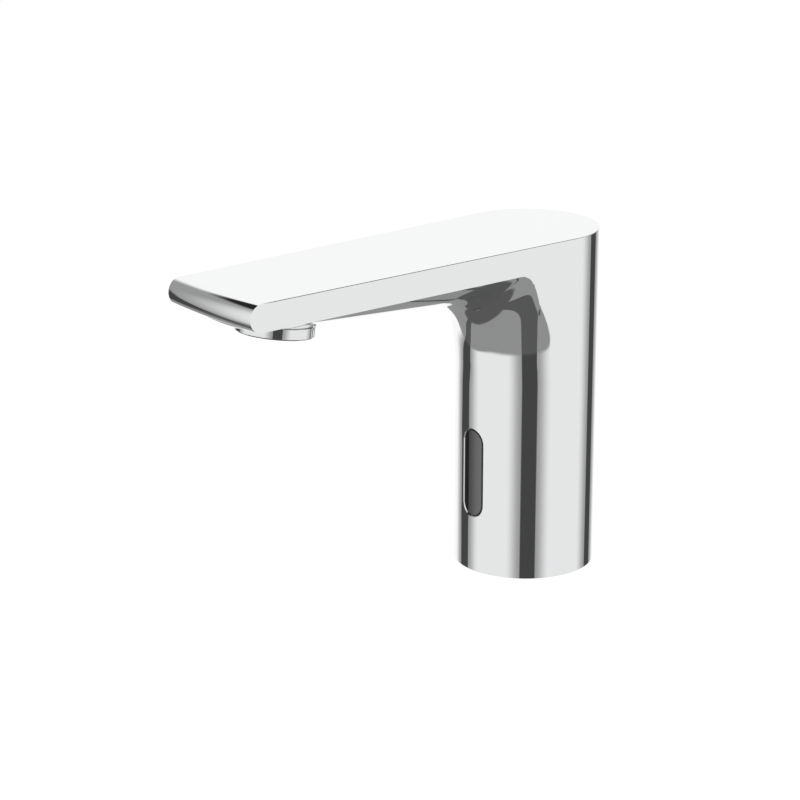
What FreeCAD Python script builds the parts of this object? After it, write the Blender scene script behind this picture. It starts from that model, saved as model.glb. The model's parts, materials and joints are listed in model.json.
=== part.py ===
import FreeCAD, Part
import math
import os
import Sketcher

os.makedirs("parts", exist_ok=True)
doc = FreeCAD.newDocument("sensor_tap")
vector = FreeCAD.Vector

# ---------------------------------------------------------------- driving dimensions
# One row per size: alias, millimetres (or degrees), what it is.
driving_sizes = [
    ("column_radius", 25.0, "outer radius of the upright column"),
    ("body_height", 122.2, "deck to the flat top of the spout"),
    ("spout_reach", 138.5, "column axis to the furthest point of the nose"),
    ("tip_half_width", 21.8, "half the spout's width at the nose corners"),
    ("nose_bow", 1.0, "how far the nose bows forward of its corners"),
    ("slab_thickness", 9.4, "thickness of the spout's flat side band"),
    ("nose_round", 4.6, "radius of the rounded nose, close to half the band"),
    ("side_wall", 2.8, "wall of the column"),
    ("top_wall", 2.7, "wall under the flat top"),
    ("flare_drop", 44.8, "start of the flare below the spout's side band"),
    ("flare_radius", 106.0, "radius of the flare's side view"),
    ("turn_drop", 16.8, "turn of the flare to upright, below the side band"),
    ("throat_drop", 10.8, "end of the flare's soft corner below the side band"),
    ("throat_radius", 29.5, "radius of the throat under the spout"),
    ("soft_corner", 20.0, "corner radius between flank and flare at its start"),
    ("crisp_corner", 0.8, "corner radius between flank and throat"),
    ("belly_root_depth", 11.7, "belly below the side band, at the column's face"),
    ("belly_tip_depth", 5.35, "belly below the side band, past the outlet"),
    ("belly_tip_reach", 118.0, "column axis to where the belly starts to close"),
    ("belly_end_reach", 133.6, "column axis to where the belly has closed"),
    ("duct_width", 28.0, "width of the cored duct along the spout"),
    ("duct_height", 9.4, "height of the cored duct along the spout"),
    ("duct_stop", 15.9, "end of the cored duct behind the centre of the outlet's rim"),
    ("outlet_reach", 111.4, "column axis to the centre of the outlet's rim"),
    ("outlet_drop", 18.0, "top of the spout to the centre of the outlet's rim"),
    ("outlet_tilt", 8.0, "degrees that the outlet leans forward"),
    ("thread_radius", 12.0, "M24 x 1 aerator thread"),
    ("thread_length", 4.0, "engaged length of the aerator thread"),
    ("thread_play", 0.04, "radial play on each side of the aerator thread"),
    ("collar_radius", 13.4, "outer radius of the aerator collar"),
    ("collar_height", 4.1, "visible height of the aerator collar"),
    ("collar_lip", 0.9, "thickness of the lip that carries the insert"),
    ("edge_break", 0.4, "chamfer on the edges of turned pieces"),
    ("collar_wall", 1.7, "wall of the collar's threaded neck"),
    ("seam", 0.25, "dark seam between the collar and the spout"),
    ("boss_wall", 2.0, "wall of the outlet boss round the thread"),
    ("washer_thickness", 1.3, "aerator washer"),
    ("chamber_radius", 9.0, "water chamber over the aerator"),
    ("chamber_height", 5.2, "height of the water chamber over the washer seat"),
    ("insert_height", 6.6, "height of the aerator insert"),
    ("straw_radius", 0.85, "radius of one straightening channel"),
    ("straw_pitch", 2.3, "spacing of the straightening channels"),
    ("insert_rim", 1.6, "plain rim of the aerator insert"),
    ("screen_rim", 1.2, "plain rim of the inlet screen"),
    ("screen_hole", 0.51, "radius of one hole in the inlet screen"),
    ("screen_thickness", 0.5, "inlet screen of the aerator"),
    ("window_height", 32.2, "height of the sensor window's opening"),
    ("window_width", 9.6, "width of the sensor window's opening"),
    ("window_level", 36.4, "deck to the window's centre"),
    ("gasket_width", 0.5, "rubber edge round the lens"),
    ("lens_recess", 0.15, "lens surface below the column's surface"),
    ("base_height", 9.0, "thickness of the base plate"),
    ("base_play", 0.1, "radial play of the base plate in the column"),
    ("inlet_radius", 4.5, "M10 x 1 hose thread, as tapped"),
    ("inlet_depth", 10.0, "depth of the hose thread"),
    ("waterway_radius", 2.8, "bore of the base and of the valve seat"),
    ("socket_radius", 7.0, "socket in the base for the valve's spigot"),
    ("socket_floor", 12.0, "height of the socket's floor"),
    ("socket_top", 20.0, "height of the socket's mouth"),
    ("socket_wall", 2.5, "wall round the socket"),
    ("stud_radius", 2.5, "M6 stud thread, as tapped"),
    ("stud_depth", 7.5, "depth of the stud threads"),
    ("stud_spacing", 29.0, "distance between the two stud threads"),
    ("seal_inset", 0.7, "deck seal inside the base plate's edge"),
    ("seal_width", 1.8, "width of the deck seal"),
    ("seal_height", 1.6, "height of the deck seal's groove"),
    ("grub_radius", 2.0, "M4 grub screw"),
    ("grub_length", 5.0, "length of the grub screw"),
    ("grub_level", 4.6, "deck to the grub screw"),
    ("grub_inset", 1.4, "grub screw below the column's surface"),
    ("hex_width", 2.0, "across flats of the grub screw's socket"),
    ("screw_play", 0.03, "radial play round a screw's shank"),
    ("valve_offset", 3.0, "valve axis behind the column axis"),
    ("valve_width", 26.0, "side of the square valve body"),
    ("valve_corner", 4.0, "corner radius of the valve body"),
    ("valve_bottom", 24.0, "underside of the valve body"),
    ("valve_top", 38.0, "joint between the valve body and its bonnet"),
    ("bonnet_thickness", 6.0, "thickness of the bonnet's flange"),
    ("spigot_play", 0.1, "radial play of the spigot in the socket"),
    ("cartridge_radius", 5.2, "bore for the filter and the check valve"),
    ("cartridge_top", 26.2, "top of the bore for the check valve"),
    ("seat_wall", 1.4, "wall of the valve seat"),
    ("moat_radius", 8.2, "outer radius of the water ring round the seat"),
    ("moat_depth", 5.0, "depth of the water ring round the seat"),
    ("outlet_bore", 2.2, "radius of the passage from the seat to the tube"),
    ("well_step", 0.6, "floor of the seat's well below the passage to the tube"),
    ("outlet_level", 30.5, "height of the passage from the seat to the tube"),
    ("riser_radius", 1.7, "passage from the check valve to the water ring"),
    ("tube_radius", 4.0, "outer radius of the outlet tube"),
    ("tube_bore", 2.8, "inner radius of the outlet tube"),
    ("tube_back", 17.9, "outlet tube behind the column axis"),
    ("tube_level", 115.1, "height of the outlet tube in the spout"),
    ("tube_bend", 20.0, "bend radius of the outlet tube's centre line"),
    ("barb_length", 10.0, "length of the barbs in the outlet tube"),
    ("barb_play", 0.05, "radial play of a barb in the tube"),
    ("lug_radius", 4.1, "boss that carries the valve's barb"),
    ("lug_step", 2.0, "underside of that boss above the valve's underside"),
    ("lug_top", 36.0, "top of the boss that carries the valve's barb"),
    ("nipple_flange", 2.0, "thickness of the spout nipple's flange"),
    ("diaphragm_radius", 9.5, "radius of the diaphragm"),
    ("diaphragm_thickness", 1.2, "thickness of the diaphragm"),
    ("diaphragm_lift", 1.2, "travel of the diaphragm's plate"),
    ("diaphragm_play", 0.6, "room left over the diaphragm's plate at full travel"),
    ("plate_radius", 5.5, "radius of the diaphragm's plate"),
    ("plate_thickness", 1.0, "thickness of the diaphragm's plate"),
    ("hub_radius", 1.45, "pilot hub of the diaphragm's plate"),
    ("hub_height", 3.0, "height of the pilot hub"),
    ("pilot_radius", 0.4, "pilot hole through the hub"),
    ("core_tube_radius", 4.6, "outer radius of the bonnet's core tube"),
    ("core_tube_bore", 4.0, "bore of the core tube"),
    ("core_tube_top", 60.4, "top of the core tube"),
    ("plunger_play", 0.07, "radial play of the plunger in its tube"),
    ("plunger_length", 12.4, "length of the plunger"),
    ("plunger_travel", 1.5, "travel of the plunger"),
    ("tip_radius", 1.6, "radius of the plunger's rubber tip"),
    ("tip_length", 1.6, "length of the plunger's rubber tip"),
    ("tip_proud", 0.6, "rubber tip below the plunger"),
    ("stop_play", 0.1, "gap left between the plunger and the fixed core at full travel"),
    ("pocket_radius", 2.4, "spring pocket in the plunger"),
    ("pocket_depth", 4.0, "depth of the spring pocket"),
    ("core_head", 1.0, "thickness of the fixed core's head"),
    ("magnet_radius", 4.5, "radius of the latch magnet"),
    ("magnet_height", 2.0, "height of the latch magnet"),
    ("bobbin_radius", 10.3, "radius of the bobbin's flanges"),
    ("bobbin_wall", 0.8, "wall and flanges of the bobbin"),
    ("winding_inset", 0.7, "winding below the bobbin's flanges"),
    ("yoke_half_width", 12.2, "half the width of the yoke"),
    ("yoke_depth", 12.0, "depth of the yoke, front to back"),
    ("yoke_sheet", 0.8, "sheet thickness of the yoke"),
    ("valve_screw_pitch", 20.6, "square pitch of the valve's screws"),
    ("screw_radius", 1.5, "M3 screws"),
    ("screw_head_radius", 2.5, "heads of the M3 screws"),
    ("screw_head_height", 2.0, "height of the M3 screws' heads"),
    ("valve_screw_length", 13.0, "length of the valve's screws"),
    ("spring_gap", 0.1, "end play of a spring"),
    ("spring_wire", 0.3, "wire radius of the springs"),
    ("plunger_coil", 1.8, "coil radius of the plunger spring"),
    ("check_coil", 2.3, "coil radius of the check spring"),
    ("spring_turns", 5.0, "turns of a spring"),
    ("filter_bottom", 12.3, "underside of the inlet filter"),
    ("filter_rim", 1.0, "rim height of the inlet filter"),
    ("filter_height", 2.5, "height of the inlet filter"),
    ("filter_cloth", 0.4, "thickness of the inlet filter's cone"),
    ("cage_bottom", 15.0, "underside of the check valve's cage"),
    ("cage_height", 9.5, "height of the check valve's cage"),
    ("cage_seat", 1.2, "thickness of the cage's seat and of its guide"),
    ("cage_wall", 0.85, "wall of the cage"),
    ("cage_play", 0.05, "radial play of filter and cage in their bore"),
    ("cage_mouth", 2.6, "radius of the cage's mouth"),
    ("poppet_radius", 3.7, "radius of the poppet's disc"),
    ("poppet_disc", 1.0, "thickness of the poppet's disc"),
    ("stem_radius", 1.15, "radius of the poppet's stem"),
    ("stem_play", 0.05, "radial play of the stem in its guide"),
    ("ring_groove", 1.8, "height of the spigot's O-ring groove"),
    ("ring_width", 0.9, "depth of the spigot's O-ring groove"),
    ("ring_level", 15.2, "underside of the spigot's O-ring groove"),
    ("case_width", 15.0, "width of the sensor case"),
    ("case_depth", 8.0, "depth of the sensor case"),
    ("case_height", 35.0, "height of the sensor case"),
    ("case_wall", 1.2, "wall of the sensor case"),
    ("case_front", 20.3, "column axis to the front of the sensor case"),
    ("lens_seat", 0.05, "gap between the lens and the sensor case"),
    ("lug_reach", 23.2, "window centre to the end of the sensor case's lugs"),
    ("lug_thickness", 2.2, "thickness of the sensor case's lugs"),
    ("lug_width", 6.0, "width of the sensor case's lugs"),
    ("lug_front", 17.5, "column axis to the front of the sensor case's lugs"),
    ("case_screw_reach", 20.6, "window centre to the sensor case's screws"),
    ("small_screw_radius", 1.25, "M2.5 screws"),
    ("small_head_radius", 2.2, "heads of the M2.5 screws"),
    ("small_head_height", 1.6, "height of the M2.5 screws' heads"),
    ("small_screw_length", 5.5, "length of the M2.5 screws"),
    ("board_sheet", 1.2, "thickness of the circuit boards"),
    ("eye_radius", 2.5, "radius of the emitter and of the receiver"),
    ("eye_length", 6.4, "length of the emitter and of the receiver"),
    ("eye_spacing", 18.0, "distance between the emitter and the receiver"),
    ("eye_play", 0.1, "radial play of the eyes in the sensor case"),
    ("battery_width", 34.8, "width of the battery pack"),
    ("battery_depth", 19.5, "depth of the battery pack"),
    ("battery_height", 35.8, "height of the battery pack"),
    ("battery_front", 6.0, "battery pack's centre in front of the column axis"),
    ("battery_play", 0.3, "play round the battery pack"),
    ("holder_wall", 1.2, "wall of the battery holder"),
    ("holder_bottom", 65.0, "underside of the battery holder"),
    ("holder_floor", 1.4, "floor of the battery holder"),
    ("holder_height", 35.0, "height of the battery holder"),
    ("contact_sheet", 0.6, "thickness of the battery contacts"),
    ("contact_width", 7.0, "width of the battery contacts"),
    ("contact_length", 12.0, "length of the battery contacts"),
    ("leg_radius", 2.2, "radius of the holder's legs"),
    ("leg_inset", 8.7, "column's outside to the axes of the holder's legs"),
    ("foot_radius", 3.0, "radius of the pads over the legs"),
    ("leg_screw_length", 13.0, "length of the screws in the legs"),
    ("leg_screw_recess", 3.0, "depth of the recess for the leg screws' heads"),
    ("control_width", 26.0, "width of the control board"),
    ("control_height", 34.0, "height of the control board"),
    ("control_bottom", 67.0, "underside of the control board"),
    ("control_gap", 1.1, "control board behind the battery holder"),
    ("chip_height", 1.6, "height of the control board's chips"),
    ("lead_radius", 0.9, "radius of the leads"),
    ("lead_bend", 1.6, "bend radius of the sensor's lead"),
    ("lead_side", 3.0, "sensor lead beside the middle plane where it leaves the sensor"),
    ("lead_exit", 14.1, "sensor lead above the window's centre where it leaves the sensor"),
    ("lead_clear", 0.7, "room between the sensor lead and the coil"),
    ("lead_over", 1.8, "sensor lead above the core tube's top"),
    ("lead_turn", 2.2, "sensor lead above the core tube's top where it turns back"),
    ("lead_beside", 0.8, "sensor lead outside the yoke"),
    ("lead_gap", 1.0, "leads above the battery holder's underside where they turn up"),
    ("lead_rise", 10.6, "sensor lead beside the middle plane on its way up"),
    ("lead_back", 11.0, "leads behind the valve's axis on their way up"),
    ("plug_level", 6.0, "control board's underside to the middle of its plug"),
    ("coil_lead_bend", 1.4, "bend radius of the coil's leads"),
    ("coil_lead_level", 3.1, "coil's leads above the core tube's top where they turn back"),
]

sheet = doc.addObject("Spreadsheet::Sheet", "sizes")
for row, (alias, number, note) in enumerate(driving_sizes, start=1):
    sheet.set("A%d" % row, alias)
    sheet.set("B%d" % row, str(number))
    sheet.set("C%d" % row, note)
    sheet.setAlias("B%d" % row, alias)
doc.recompute()


class Size:
    """A size: its number, and the formula over the sheet's cells that gives it."""

    def __init__(self, number, formula):
        self.number = float(number)
        self.formula = formula

    def __float__(self):
        return self.number

    def __add__(self, other):
        other = as_size(other)
        return Size(self.number + other.number, "(%s + %s)" % (self.formula, other.formula))

    def __sub__(self, other):
        other = as_size(other)
        return Size(self.number - other.number, "(%s - %s)" % (self.formula, other.formula))

    def __mul__(self, other):
        other = as_size(other)
        return Size(self.number * other.number, "(%s * %s)" % (self.formula, other.formula))

    def __truediv__(self, other):
        other = as_size(other)
        return Size(self.number / other.number, "(%s / %s)" % (self.formula, other.formula))

    def __neg__(self):
        return Size(-self.number, "(0 - %s)" % self.formula)

    def __radd__(self, other):
        return as_size(other) + self

    def __rsub__(self, other):
        return as_size(other) - self

    def __rmul__(self, other):
        return as_size(other) * self


def as_size(thing):
    return thing if isinstance(thing, Size) else Size(thing, "(%s)" % repr(float(thing)))


def root(size):
    return Size(math.sqrt(float(size)), "sqrt(%s)" % size.formula)


def sine(degrees):
    return Size(math.sin(math.radians(float(degrees))), "sin(%s)" % degrees.formula)


def cosine(degrees):
    return Size(math.cos(math.radians(float(degrees))), "cos(%s)" % degrees.formula)


class Cells:
    """Every cell of the sheet as a Size, by its alias."""

    def __getattr__(self, alias):
        return Size(sheet.get(alias), "sizes." + alias)


cell = Cells()


# ---------------------------------------------------------------- making and placing
along_y = FreeCAD.Rotation(vector(1, 0, 0), 90)
upright = FreeCAD.Rotation()


def link(thing, **sizes):
    """Bind properties of an object to formulas over the sheet."""
    for name, size in sizes.items():
        thing.setExpression(name, as_size(size).formula)
    return thing


def place(thing, x=0, y=0, z=0, turn=upright):
    thing.Placement = FreeCAD.Placement(vector(float(x), float(y), float(z)), turn)
    for axis, size in (("x", x), ("y", y), ("z", z)):
        if isinstance(size, Size):
            thing.setExpression("Placement.Base." + axis, size.formula)
    return thing


def place_on_outlet(thing, height=0):
    """Stand an object on the outlet's axis, its own Z along that axis."""
    thing.Placement = FreeCAD.Placement(vector(), FreeCAD.Rotation(vector(-1, 0, 0), 1))
    thing.setExpression("Placement.Rotation.Angle", cell.outlet_tilt.formula)
    y = height * sine(cell.outlet_tilt) - cell.outlet_reach
    z = height * cosine(cell.outlet_tilt) + rim_level
    thing.setExpression("Placement.Base.y", as_size(y).formula)
    thing.setExpression("Placement.Base.z", as_size(z).formula)
    return thing


def rod(name, radius, length, x=0, y=0, z=0, turn=upright):
    cylinder = link(doc.addObject("Part::Cylinder", name), Radius=radius, Height=length)
    return place(cylinder, x, y, z, turn)


def rod_on_outlet(name, radius, low, high):
    cylinder = link(doc.addObject("Part::Cylinder", name), Radius=radius, Height=high - low)
    return place_on_outlet(cylinder, low)


def block(name, width, depth, height, x=0, y=0, z=0):
    """A box whose x and y are its middle and whose z is its underside."""
    box = link(doc.addObject("Part::Box", name), Length=width, Width=depth, Height=height)
    return place(box, as_size(x) - as_size(width) / 2, as_size(y) - as_size(depth) / 2, z)


def rounded_block(name, width, depth, height, corner, x=0, y=0, z=0):
    """A box with its four upright edges rounded."""
    box = block(name + "_box", width, depth, height, x, y, z)
    doc.recompute()
    rounded = doc.addObject("Part::Fillet", name)
    rounded.Base = box
    upright_edges = [
        number
        for number, edge in enumerate(box.Shape.Edges, start=1)
        if abs(edge.tangentAt(edge.FirstParameter).z) > 0.9
    ]
    rounded.Edges = [(number, float(corner), float(corner)) for number in upright_edges]
    return rounded


def racetrack(name, width, depth, height, x=0, y=0, z=0):
    """An upright block with full-round ends, longest along X."""
    reach = (width - depth) / 2
    middle = block(name + "_middle", width - depth, depth, height, x, y, z)
    ends = [
        rod(name + "_end%d" % side, depth / 2, height, as_size(x) + side * reach, y, z)
        for side in (-1, 1)
    ]
    return fuse(name, middle, *ends)


def fuse(name, *pieces):
    whole = doc.addObject("Part::MultiFuse", name)
    whole.Shapes = list(pieces)
    whole.Refine = True
    return whole


def group(name, *pieces):
    """Separate solids kept together under one name."""
    bundle = doc.addObject("Part::Compound", name)
    bundle.Links = list(pieces)
    return bundle


def cut(name, piece, *tools):
    tool = tools[0]
    if len(tools) > 1:
        tool = doc.addObject("Part::MultiFuse", name + "_tools")
        tool.Shapes = list(tools)
    result = doc.addObject("Part::Cut", name)
    result.Base = piece
    result.Tool = tool
    result.Refine = True
    return result


def common(name, first, second):
    shared = doc.addObject("Part::Common", name)
    shared.Base = first
    shared.Tool = second
    return shared


def shaped(name, shape):
    """An object whose shape comes from code."""
    thing = doc.addObject("Part::Feature", name)
    thing.Shape = shape
    return thing


def origin_plane(body, role):
    return next(part for part in body.Origin.OriginFeatures if part.Role == role)


def pin_point(sketch, line, name, x, y):
    """Hold the start of a sketch line at x, y by formulas."""
    on_axis = {"x": -2, "y": -1}
    for axis, size in (("x", as_size(x)), ("y", as_size(y))):
        kind = "Distance" + axis.upper()
        if abs(size.number) < 1e-9:
            sketch.addConstraint(Sketcher.Constraint("PointOnObject", line, 1, on_axis[axis]))
            continue
        ends = (-1, 1, line, 1) if size.number > 0 else (line, 1, -1, 1)
        length = size if size.number > 0 else -size
        index = sketch.addConstraint(Sketcher.Constraint(kind, *ends, length.number))
        sketch.renameConstraint(index, name + axis)
        sketch.setExpression("Constraints." + name + axis, length.formula)


def draw_outline(sketch, points):
    """A closed outline of straight lines through points given as sizes."""
    spots = [vector(float(as_size(x)), float(as_size(y)), 0) for x, y in points]
    count = len(spots)
    for index in range(count):
        sketch.addGeometry(Part.LineSegment(spots[index], spots[(index + 1) % count]))
    for index in range(count):
        following = (index + 1) % count
        sketch.addConstraint(Sketcher.Constraint("Coincident", index, 2, following, 1))
    for index, (x, y) in enumerate(points):
        pin_point(sketch, index, "p%d" % index, x, y)


def new_sketch(body, name, role):
    sketch = body.newObject("Sketcher::SketchObject", name)
    sketch.AttachmentSupport = [(origin_plane(body, role), "")]
    sketch.MapMode = "FlatFace"
    return sketch


def turned(name, points, x=0, y=0, z=0, on_outlet=False):
    """A piece turned about its own Z from (radius, height) points."""
    body = doc.addObject("PartDesign::Body", name)
    sketch = new_sketch(body, name + "_outline", "XZ_Plane")
    draw_outline(sketch, points)
    spin = body.newObject("PartDesign::Revolution", name + "_turning")
    spin.Profile = sketch
    spin.ReferenceAxis = (sketch, ["V_Axis"])
    spin.Angle = 360
    if on_outlet:
        place_on_outlet(body)
    else:
        place(body, x, y, z)
    return body


def ring(name, inner, outer, low, high, x=0, y=0, on_outlet=False):
    points = [(inner, low), (outer, low), (outer, high), (inner, high)]
    return turned(name, points, x, y, on_outlet=on_outlet)


def spring(name, coil, wire, low, high, x=0, y=0):
    """A coil spring between two heights, its wire's surface at both."""
    rise = float(high) - float(low) - 2 * float(wire)
    helix = Part.makeHelix(rise / float(cell.spring_turns), rise, float(coil))
    section = Part.Wire(Part.makeCircle(float(wire), vector(float(coil), 0, 0), vector(0, 1, 0)))
    coil_solid = Part.Wire(helix.Edges).makePipeShell([section], True, True)
    thing = shaped(name, coil_solid)
    return place(thing, x, y, as_size(low) + wire)


def bent_path(points, bend):
    """Straight runs through points, joined by tangent arcs of one radius."""
    edges = []
    start = points[0]
    for before, corner, after in zip(points, points[1:], points[2:]):
        toward = (before - corner).normalize()
        onward = (after - corner).normalize()
        half = toward.getAngle(onward) / 2
        leg = bend / math.tan(half)
        entry = corner + toward * leg
        leave = corner + onward * leg
        middle = corner + (toward + onward).normalize() * (bend / math.sin(half) - bend)
        edges.append(Part.LineSegment(start, entry).toShape())
        edges.append(Part.Arc(entry, middle, leave).toShape())
        start = leave
    edges.append(Part.LineSegment(start, points[-1]).toShape())
    return Part.Wire(edges)


def tube_along(path, radius):
    """A round bar along a path of runs and arcs."""
    first = path.Edges[0]
    direction = first.tangentAt(first.FirstParameter)
    section = Part.Wire(Part.makeCircle(radius, first.valueAt(first.FirstParameter), direction))
    return path.makePipeShell([section], True, False)


# ---------------------------------------------------------------- shared places
slab_bottom = cell.body_height - cell.slab_thickness
flare_start = slab_bottom - cell.flare_drop
flare_turn = slab_bottom - cell.turn_drop
throat_height = slab_bottom - cell.throat_drop
cavity_radius = cell.column_radius - cell.side_wall
leg_reach = cell.column_radius - cell.leg_inset
base_radius = cavity_radius - cell.base_play
seal_outer = base_radius - cell.seal_inset
seal_inner = seal_outer - cell.seal_width
cavity_top = cell.body_height - cell.top_wall
rim_level = cell.body_height - cell.outlet_drop
duct_reach = cell.outlet_reach - cell.duct_stop
nose_side = cell.spout_reach - cell.nose_bow
half_width = cell.tip_half_width
nose_radius = (half_width * half_width + cell.nose_bow * cell.nose_bow) / (2 * cell.nose_bow)
washer_seat = cell.collar_height + cell.thread_length + cell.washer_thickness
chamber_top = washer_seat + cell.chamber_height
thread_bore = cell.thread_radius + cell.thread_play
neck_radius = cell.thread_radius - cell.thread_play
valve_y = cell.valve_offset
bonnet_top = cell.valve_top + cell.bonnet_thickness

# The flank runs straight from its tangent point on the column to the nose corner.
flank_span = math.hypot(float(half_width), float(nose_side))
flank_turn = math.acos(float(cell.column_radius) / flank_span) + math.atan2(
    -float(nose_side), float(half_width)
)
flank_out = vector(math.cos(flank_turn), math.sin(flank_turn), 0)
flank_along = vector(math.sin(flank_turn), -math.cos(flank_turn), 0)


def mirrored(point):
    return vector(-point.x, point.y, point.z)


def at_height(point, height):
    return vector(point.x, point.y, height)


# ---------------------------------------------------------------- body shell
def spout_plan():
    """The outline from above: column at the back, tapering flanks, bowed nose."""
    sketch = doc.addObject("Sketcher::SketchObject", "spout_plan")
    radius = float(cell.column_radius)
    side = float(nose_side)
    width = float(half_width)
    right = flank_out * radius
    left = mirrored(right)
    start = math.atan2(right.y, right.x)
    circle = Part.Circle(vector(), vector(0, 0, 1), radius)
    sketch.addGeometry(Part.ArcOfCircle(circle, start, math.pi - start))
    sketch.addGeometry(Part.LineSegment(right, vector(width, -side, 0)))
    nose = vector(0, -float(cell.spout_reach), 0)
    sketch.addGeometry(Part.Arc(vector(-width, -side, 0), nose, vector(width, -side, 0)))
    sketch.addGeometry(Part.LineSegment(left, vector(-width, -side, 0)))
    for pair in ((0, 3, -1, 1), (1, 2, 2, 2), (3, 2, 2, 1)):
        sketch.addConstraint(Sketcher.Constraint("Coincident", *pair))
    for pair in ((0, 1, 1, 1), (0, 2, 3, 1)):
        sketch.addConstraint(Sketcher.Constraint("Tangent", *pair))
    sketch.addConstraint(Sketcher.Constraint("Symmetric", 2, 1, 2, 2, -2))
    named = [
        ("back", Sketcher.Constraint("Radius", 0, radius), cell.column_radius),
        ("bow", Sketcher.Constraint("Radius", 2, float(nose_radius)), nose_radius),
        ("tip", Sketcher.Constraint("DistanceX", -1, 1, 1, 2, width), half_width),
        ("reach", Sketcher.Constraint("DistanceY", 1, 2, -1, 1, side), nose_side),
    ]
    for name, constraint, size in named:
        sketch.renameConstraint(sketch.addConstraint(constraint), name)
        sketch.setExpression("Constraints." + name, size.formula)
    return sketch


def extruded(name, sketch, low, height):
    solid = doc.addObject("Part::Extrusion", name)
    solid.Base = sketch
    solid.DirMode = "Custom"
    solid.Dir = vector(0, 0, 1)
    solid.Solid = True
    link(solid, LengthFwd=height)
    return place(solid, 0, 0, low)


def rounded_slab(plan):
    """The flat top band with its full-round nose."""
    slab = extruded("slab_sharp", plan, slab_bottom, cell.slab_thickness)
    doc.recompute()
    nose_y = -float(nose_side) + 0.01
    nosed = doc.addObject("Part::Fillet", "slab")
    nosed.Base = slab
    radius = float(cell.nose_round)
    nosed.Edges = [
        (number, radius, radius)
        for number, edge in enumerate(slab.Shape.Edges, start=1)
        if edge.BoundBox.YMax < nose_y and edge.BoundBox.ZLength < 1e-6
    ]
    return nosed


def flare_reach(height):
    """Radius of the flaring column at a height, before its corners are rounded."""
    if height > float(flare_turn):
        return float(cell.throat_radius)
    rise = height - float(flare_start)
    radius = float(cell.flare_radius)
    return float(cell.column_radius) + radius - math.sqrt(radius**2 - rise**2)


def neck_section(height):
    """Outline at a height: column, straight flanks, rounded corners and a round front."""
    column = float(cell.column_radius)
    start = float(flare_start)
    share = min((height - start) / (float(throat_height) - start), 1.0)
    soft = float(cell.soft_corner)
    corner = soft + (float(cell.crisp_corner) - soft) * math.sin(share * math.pi / 2)
    front = max(flare_reach(height), column + 0.02)
    along = math.sqrt((front - corner) ** 2 - (column - corner) ** 2)
    centre = flank_out * (column - corner) + flank_along * along
    outward = vector(centre).normalize()
    flank_start = flank_out * column
    flank_end = centre + flank_out * corner
    corner_middle = centre + (flank_out + outward).normalize() * corner
    front_end = outward * front
    right = [flank_start, flank_end, corner_middle, front_end]
    right = [at_height(point, height) for point in right]
    left = [mirrored(point) for point in right]
    back = vector(0, column, height)
    nose = vector(0, -front, height)
    edges = [
        Part.Arc(right[0], back, left[0]).toShape(),
        Part.LineSegment(left[0], left[1]).toShape(),
        Part.Arc(left[1], left[2], left[3]).toShape(),
        Part.Arc(left[3], nose, right[3]).toShape(),
        Part.Arc(right[3], right[2], right[1]).toShape(),
        Part.LineSegment(right[1], right[0]).toShape(),
    ]
    return Part.Wire(edges)


def neck():
    """The column's flare and the throat over it, as a loft through rising outlines."""
    start = float(flare_start)
    turn = float(flare_turn)
    steps = 5
    heights = [start + (turn - start) * step / (steps - 1) for step in range(steps)]
    heights += [float(throat_height), float(slab_bottom)]
    loft = doc.addObject("Part::Loft", "neck")
    loft.Sections = [
        shaped("neck_outline%d" % number, neck_section(height))
        for number, height in enumerate(heights)
    ]
    loft.Solid = True
    loft.Ruled = False
    return loft


def belly_section(reach, depth):
    """The belly across the spout: an arc between the side bands' lower edges."""
    along = reach / float(nose_side)
    column = float(cell.column_radius)
    half = column + (float(half_width) - column) * along
    level = float(slab_bottom)
    right = vector(half, -reach, level)
    bottom = vector(0, -reach, level - depth)
    arc = Part.Arc(right, bottom, mirrored(right)).toShape()
    lid = Part.LineSegment(mirrored(right), right).toShape()
    return Part.Wire([arc, lid])


def belly_depth(reach):
    root_reach = float(cell.throat_radius)
    tip_reach = float(cell.belly_tip_reach)
    fall = (float(cell.belly_root_depth) - float(cell.belly_tip_depth)) / (tip_reach - root_reach)
    return float(cell.belly_tip_depth) + fall * (tip_reach - reach)


def belly(name, stations, ruled):
    loft = doc.addObject("Part::Loft", name)
    loft.Sections = [
        shaped("%s_section%d" % (name, number), belly_section(reach, depth))
        for number, (reach, depth) in enumerate(stations)
    ]
    loft.Solid = True
    loft.Ruled = ruled
    return loft


def bellies():
    """The straight belly, and its end that closes under the nose."""
    hidden = float(cell.column_radius) / 2
    tip = float(cell.belly_tip_reach)
    long_belly = belly("belly", [(reach, belly_depth(reach)) for reach in (hidden, tip)], True)
    end = float(cell.belly_end_reach)
    steps = 5
    stations = []
    for step in range(steps):
        share = math.sin(step / steps * math.pi / 2)
        reach = tip + (end - tip) * share
        stations.append((reach, belly_depth(reach) * math.sqrt(1 - share**2)))
    return [long_belly, belly("nose_belly", stations, False)]


def outer_form():
    """The casting's outside: column, flare, belly, slab and the boss over the outlet."""
    plan = spout_plan()
    column = rod("column", cell.column_radius, flare_start)
    boss_low = cell.collar_height + cell.seam
    boss = rod_on_outlet("outlet_boss", thread_bore + cell.boss_wall, boss_low, washer_seat)
    return fuse("casting_form", rounded_slab(plan), column, neck(), boss, *bellies())


def window_prism(name, width, height):
    """An upright racetrack through the column's front wall."""
    depth = cell.column_radius
    straight = height - width
    middle = link(doc.addObject("Part::Box", name + "_middle"), Length=width, Height=straight)
    link(middle, Width=depth)
    place(middle, -(width / 2), -(depth + 2), cell.window_level - straight / 2)
    ends = [
        rod(
            name + "_end%d" % side,
            width / 2,
            depth,
            0,
            -as_size(2),
            cell.window_level + side * straight / 2,
            along_y,
        )
        for side in (-1, 1)
    ]
    return fuse(name, middle, *ends)


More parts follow.
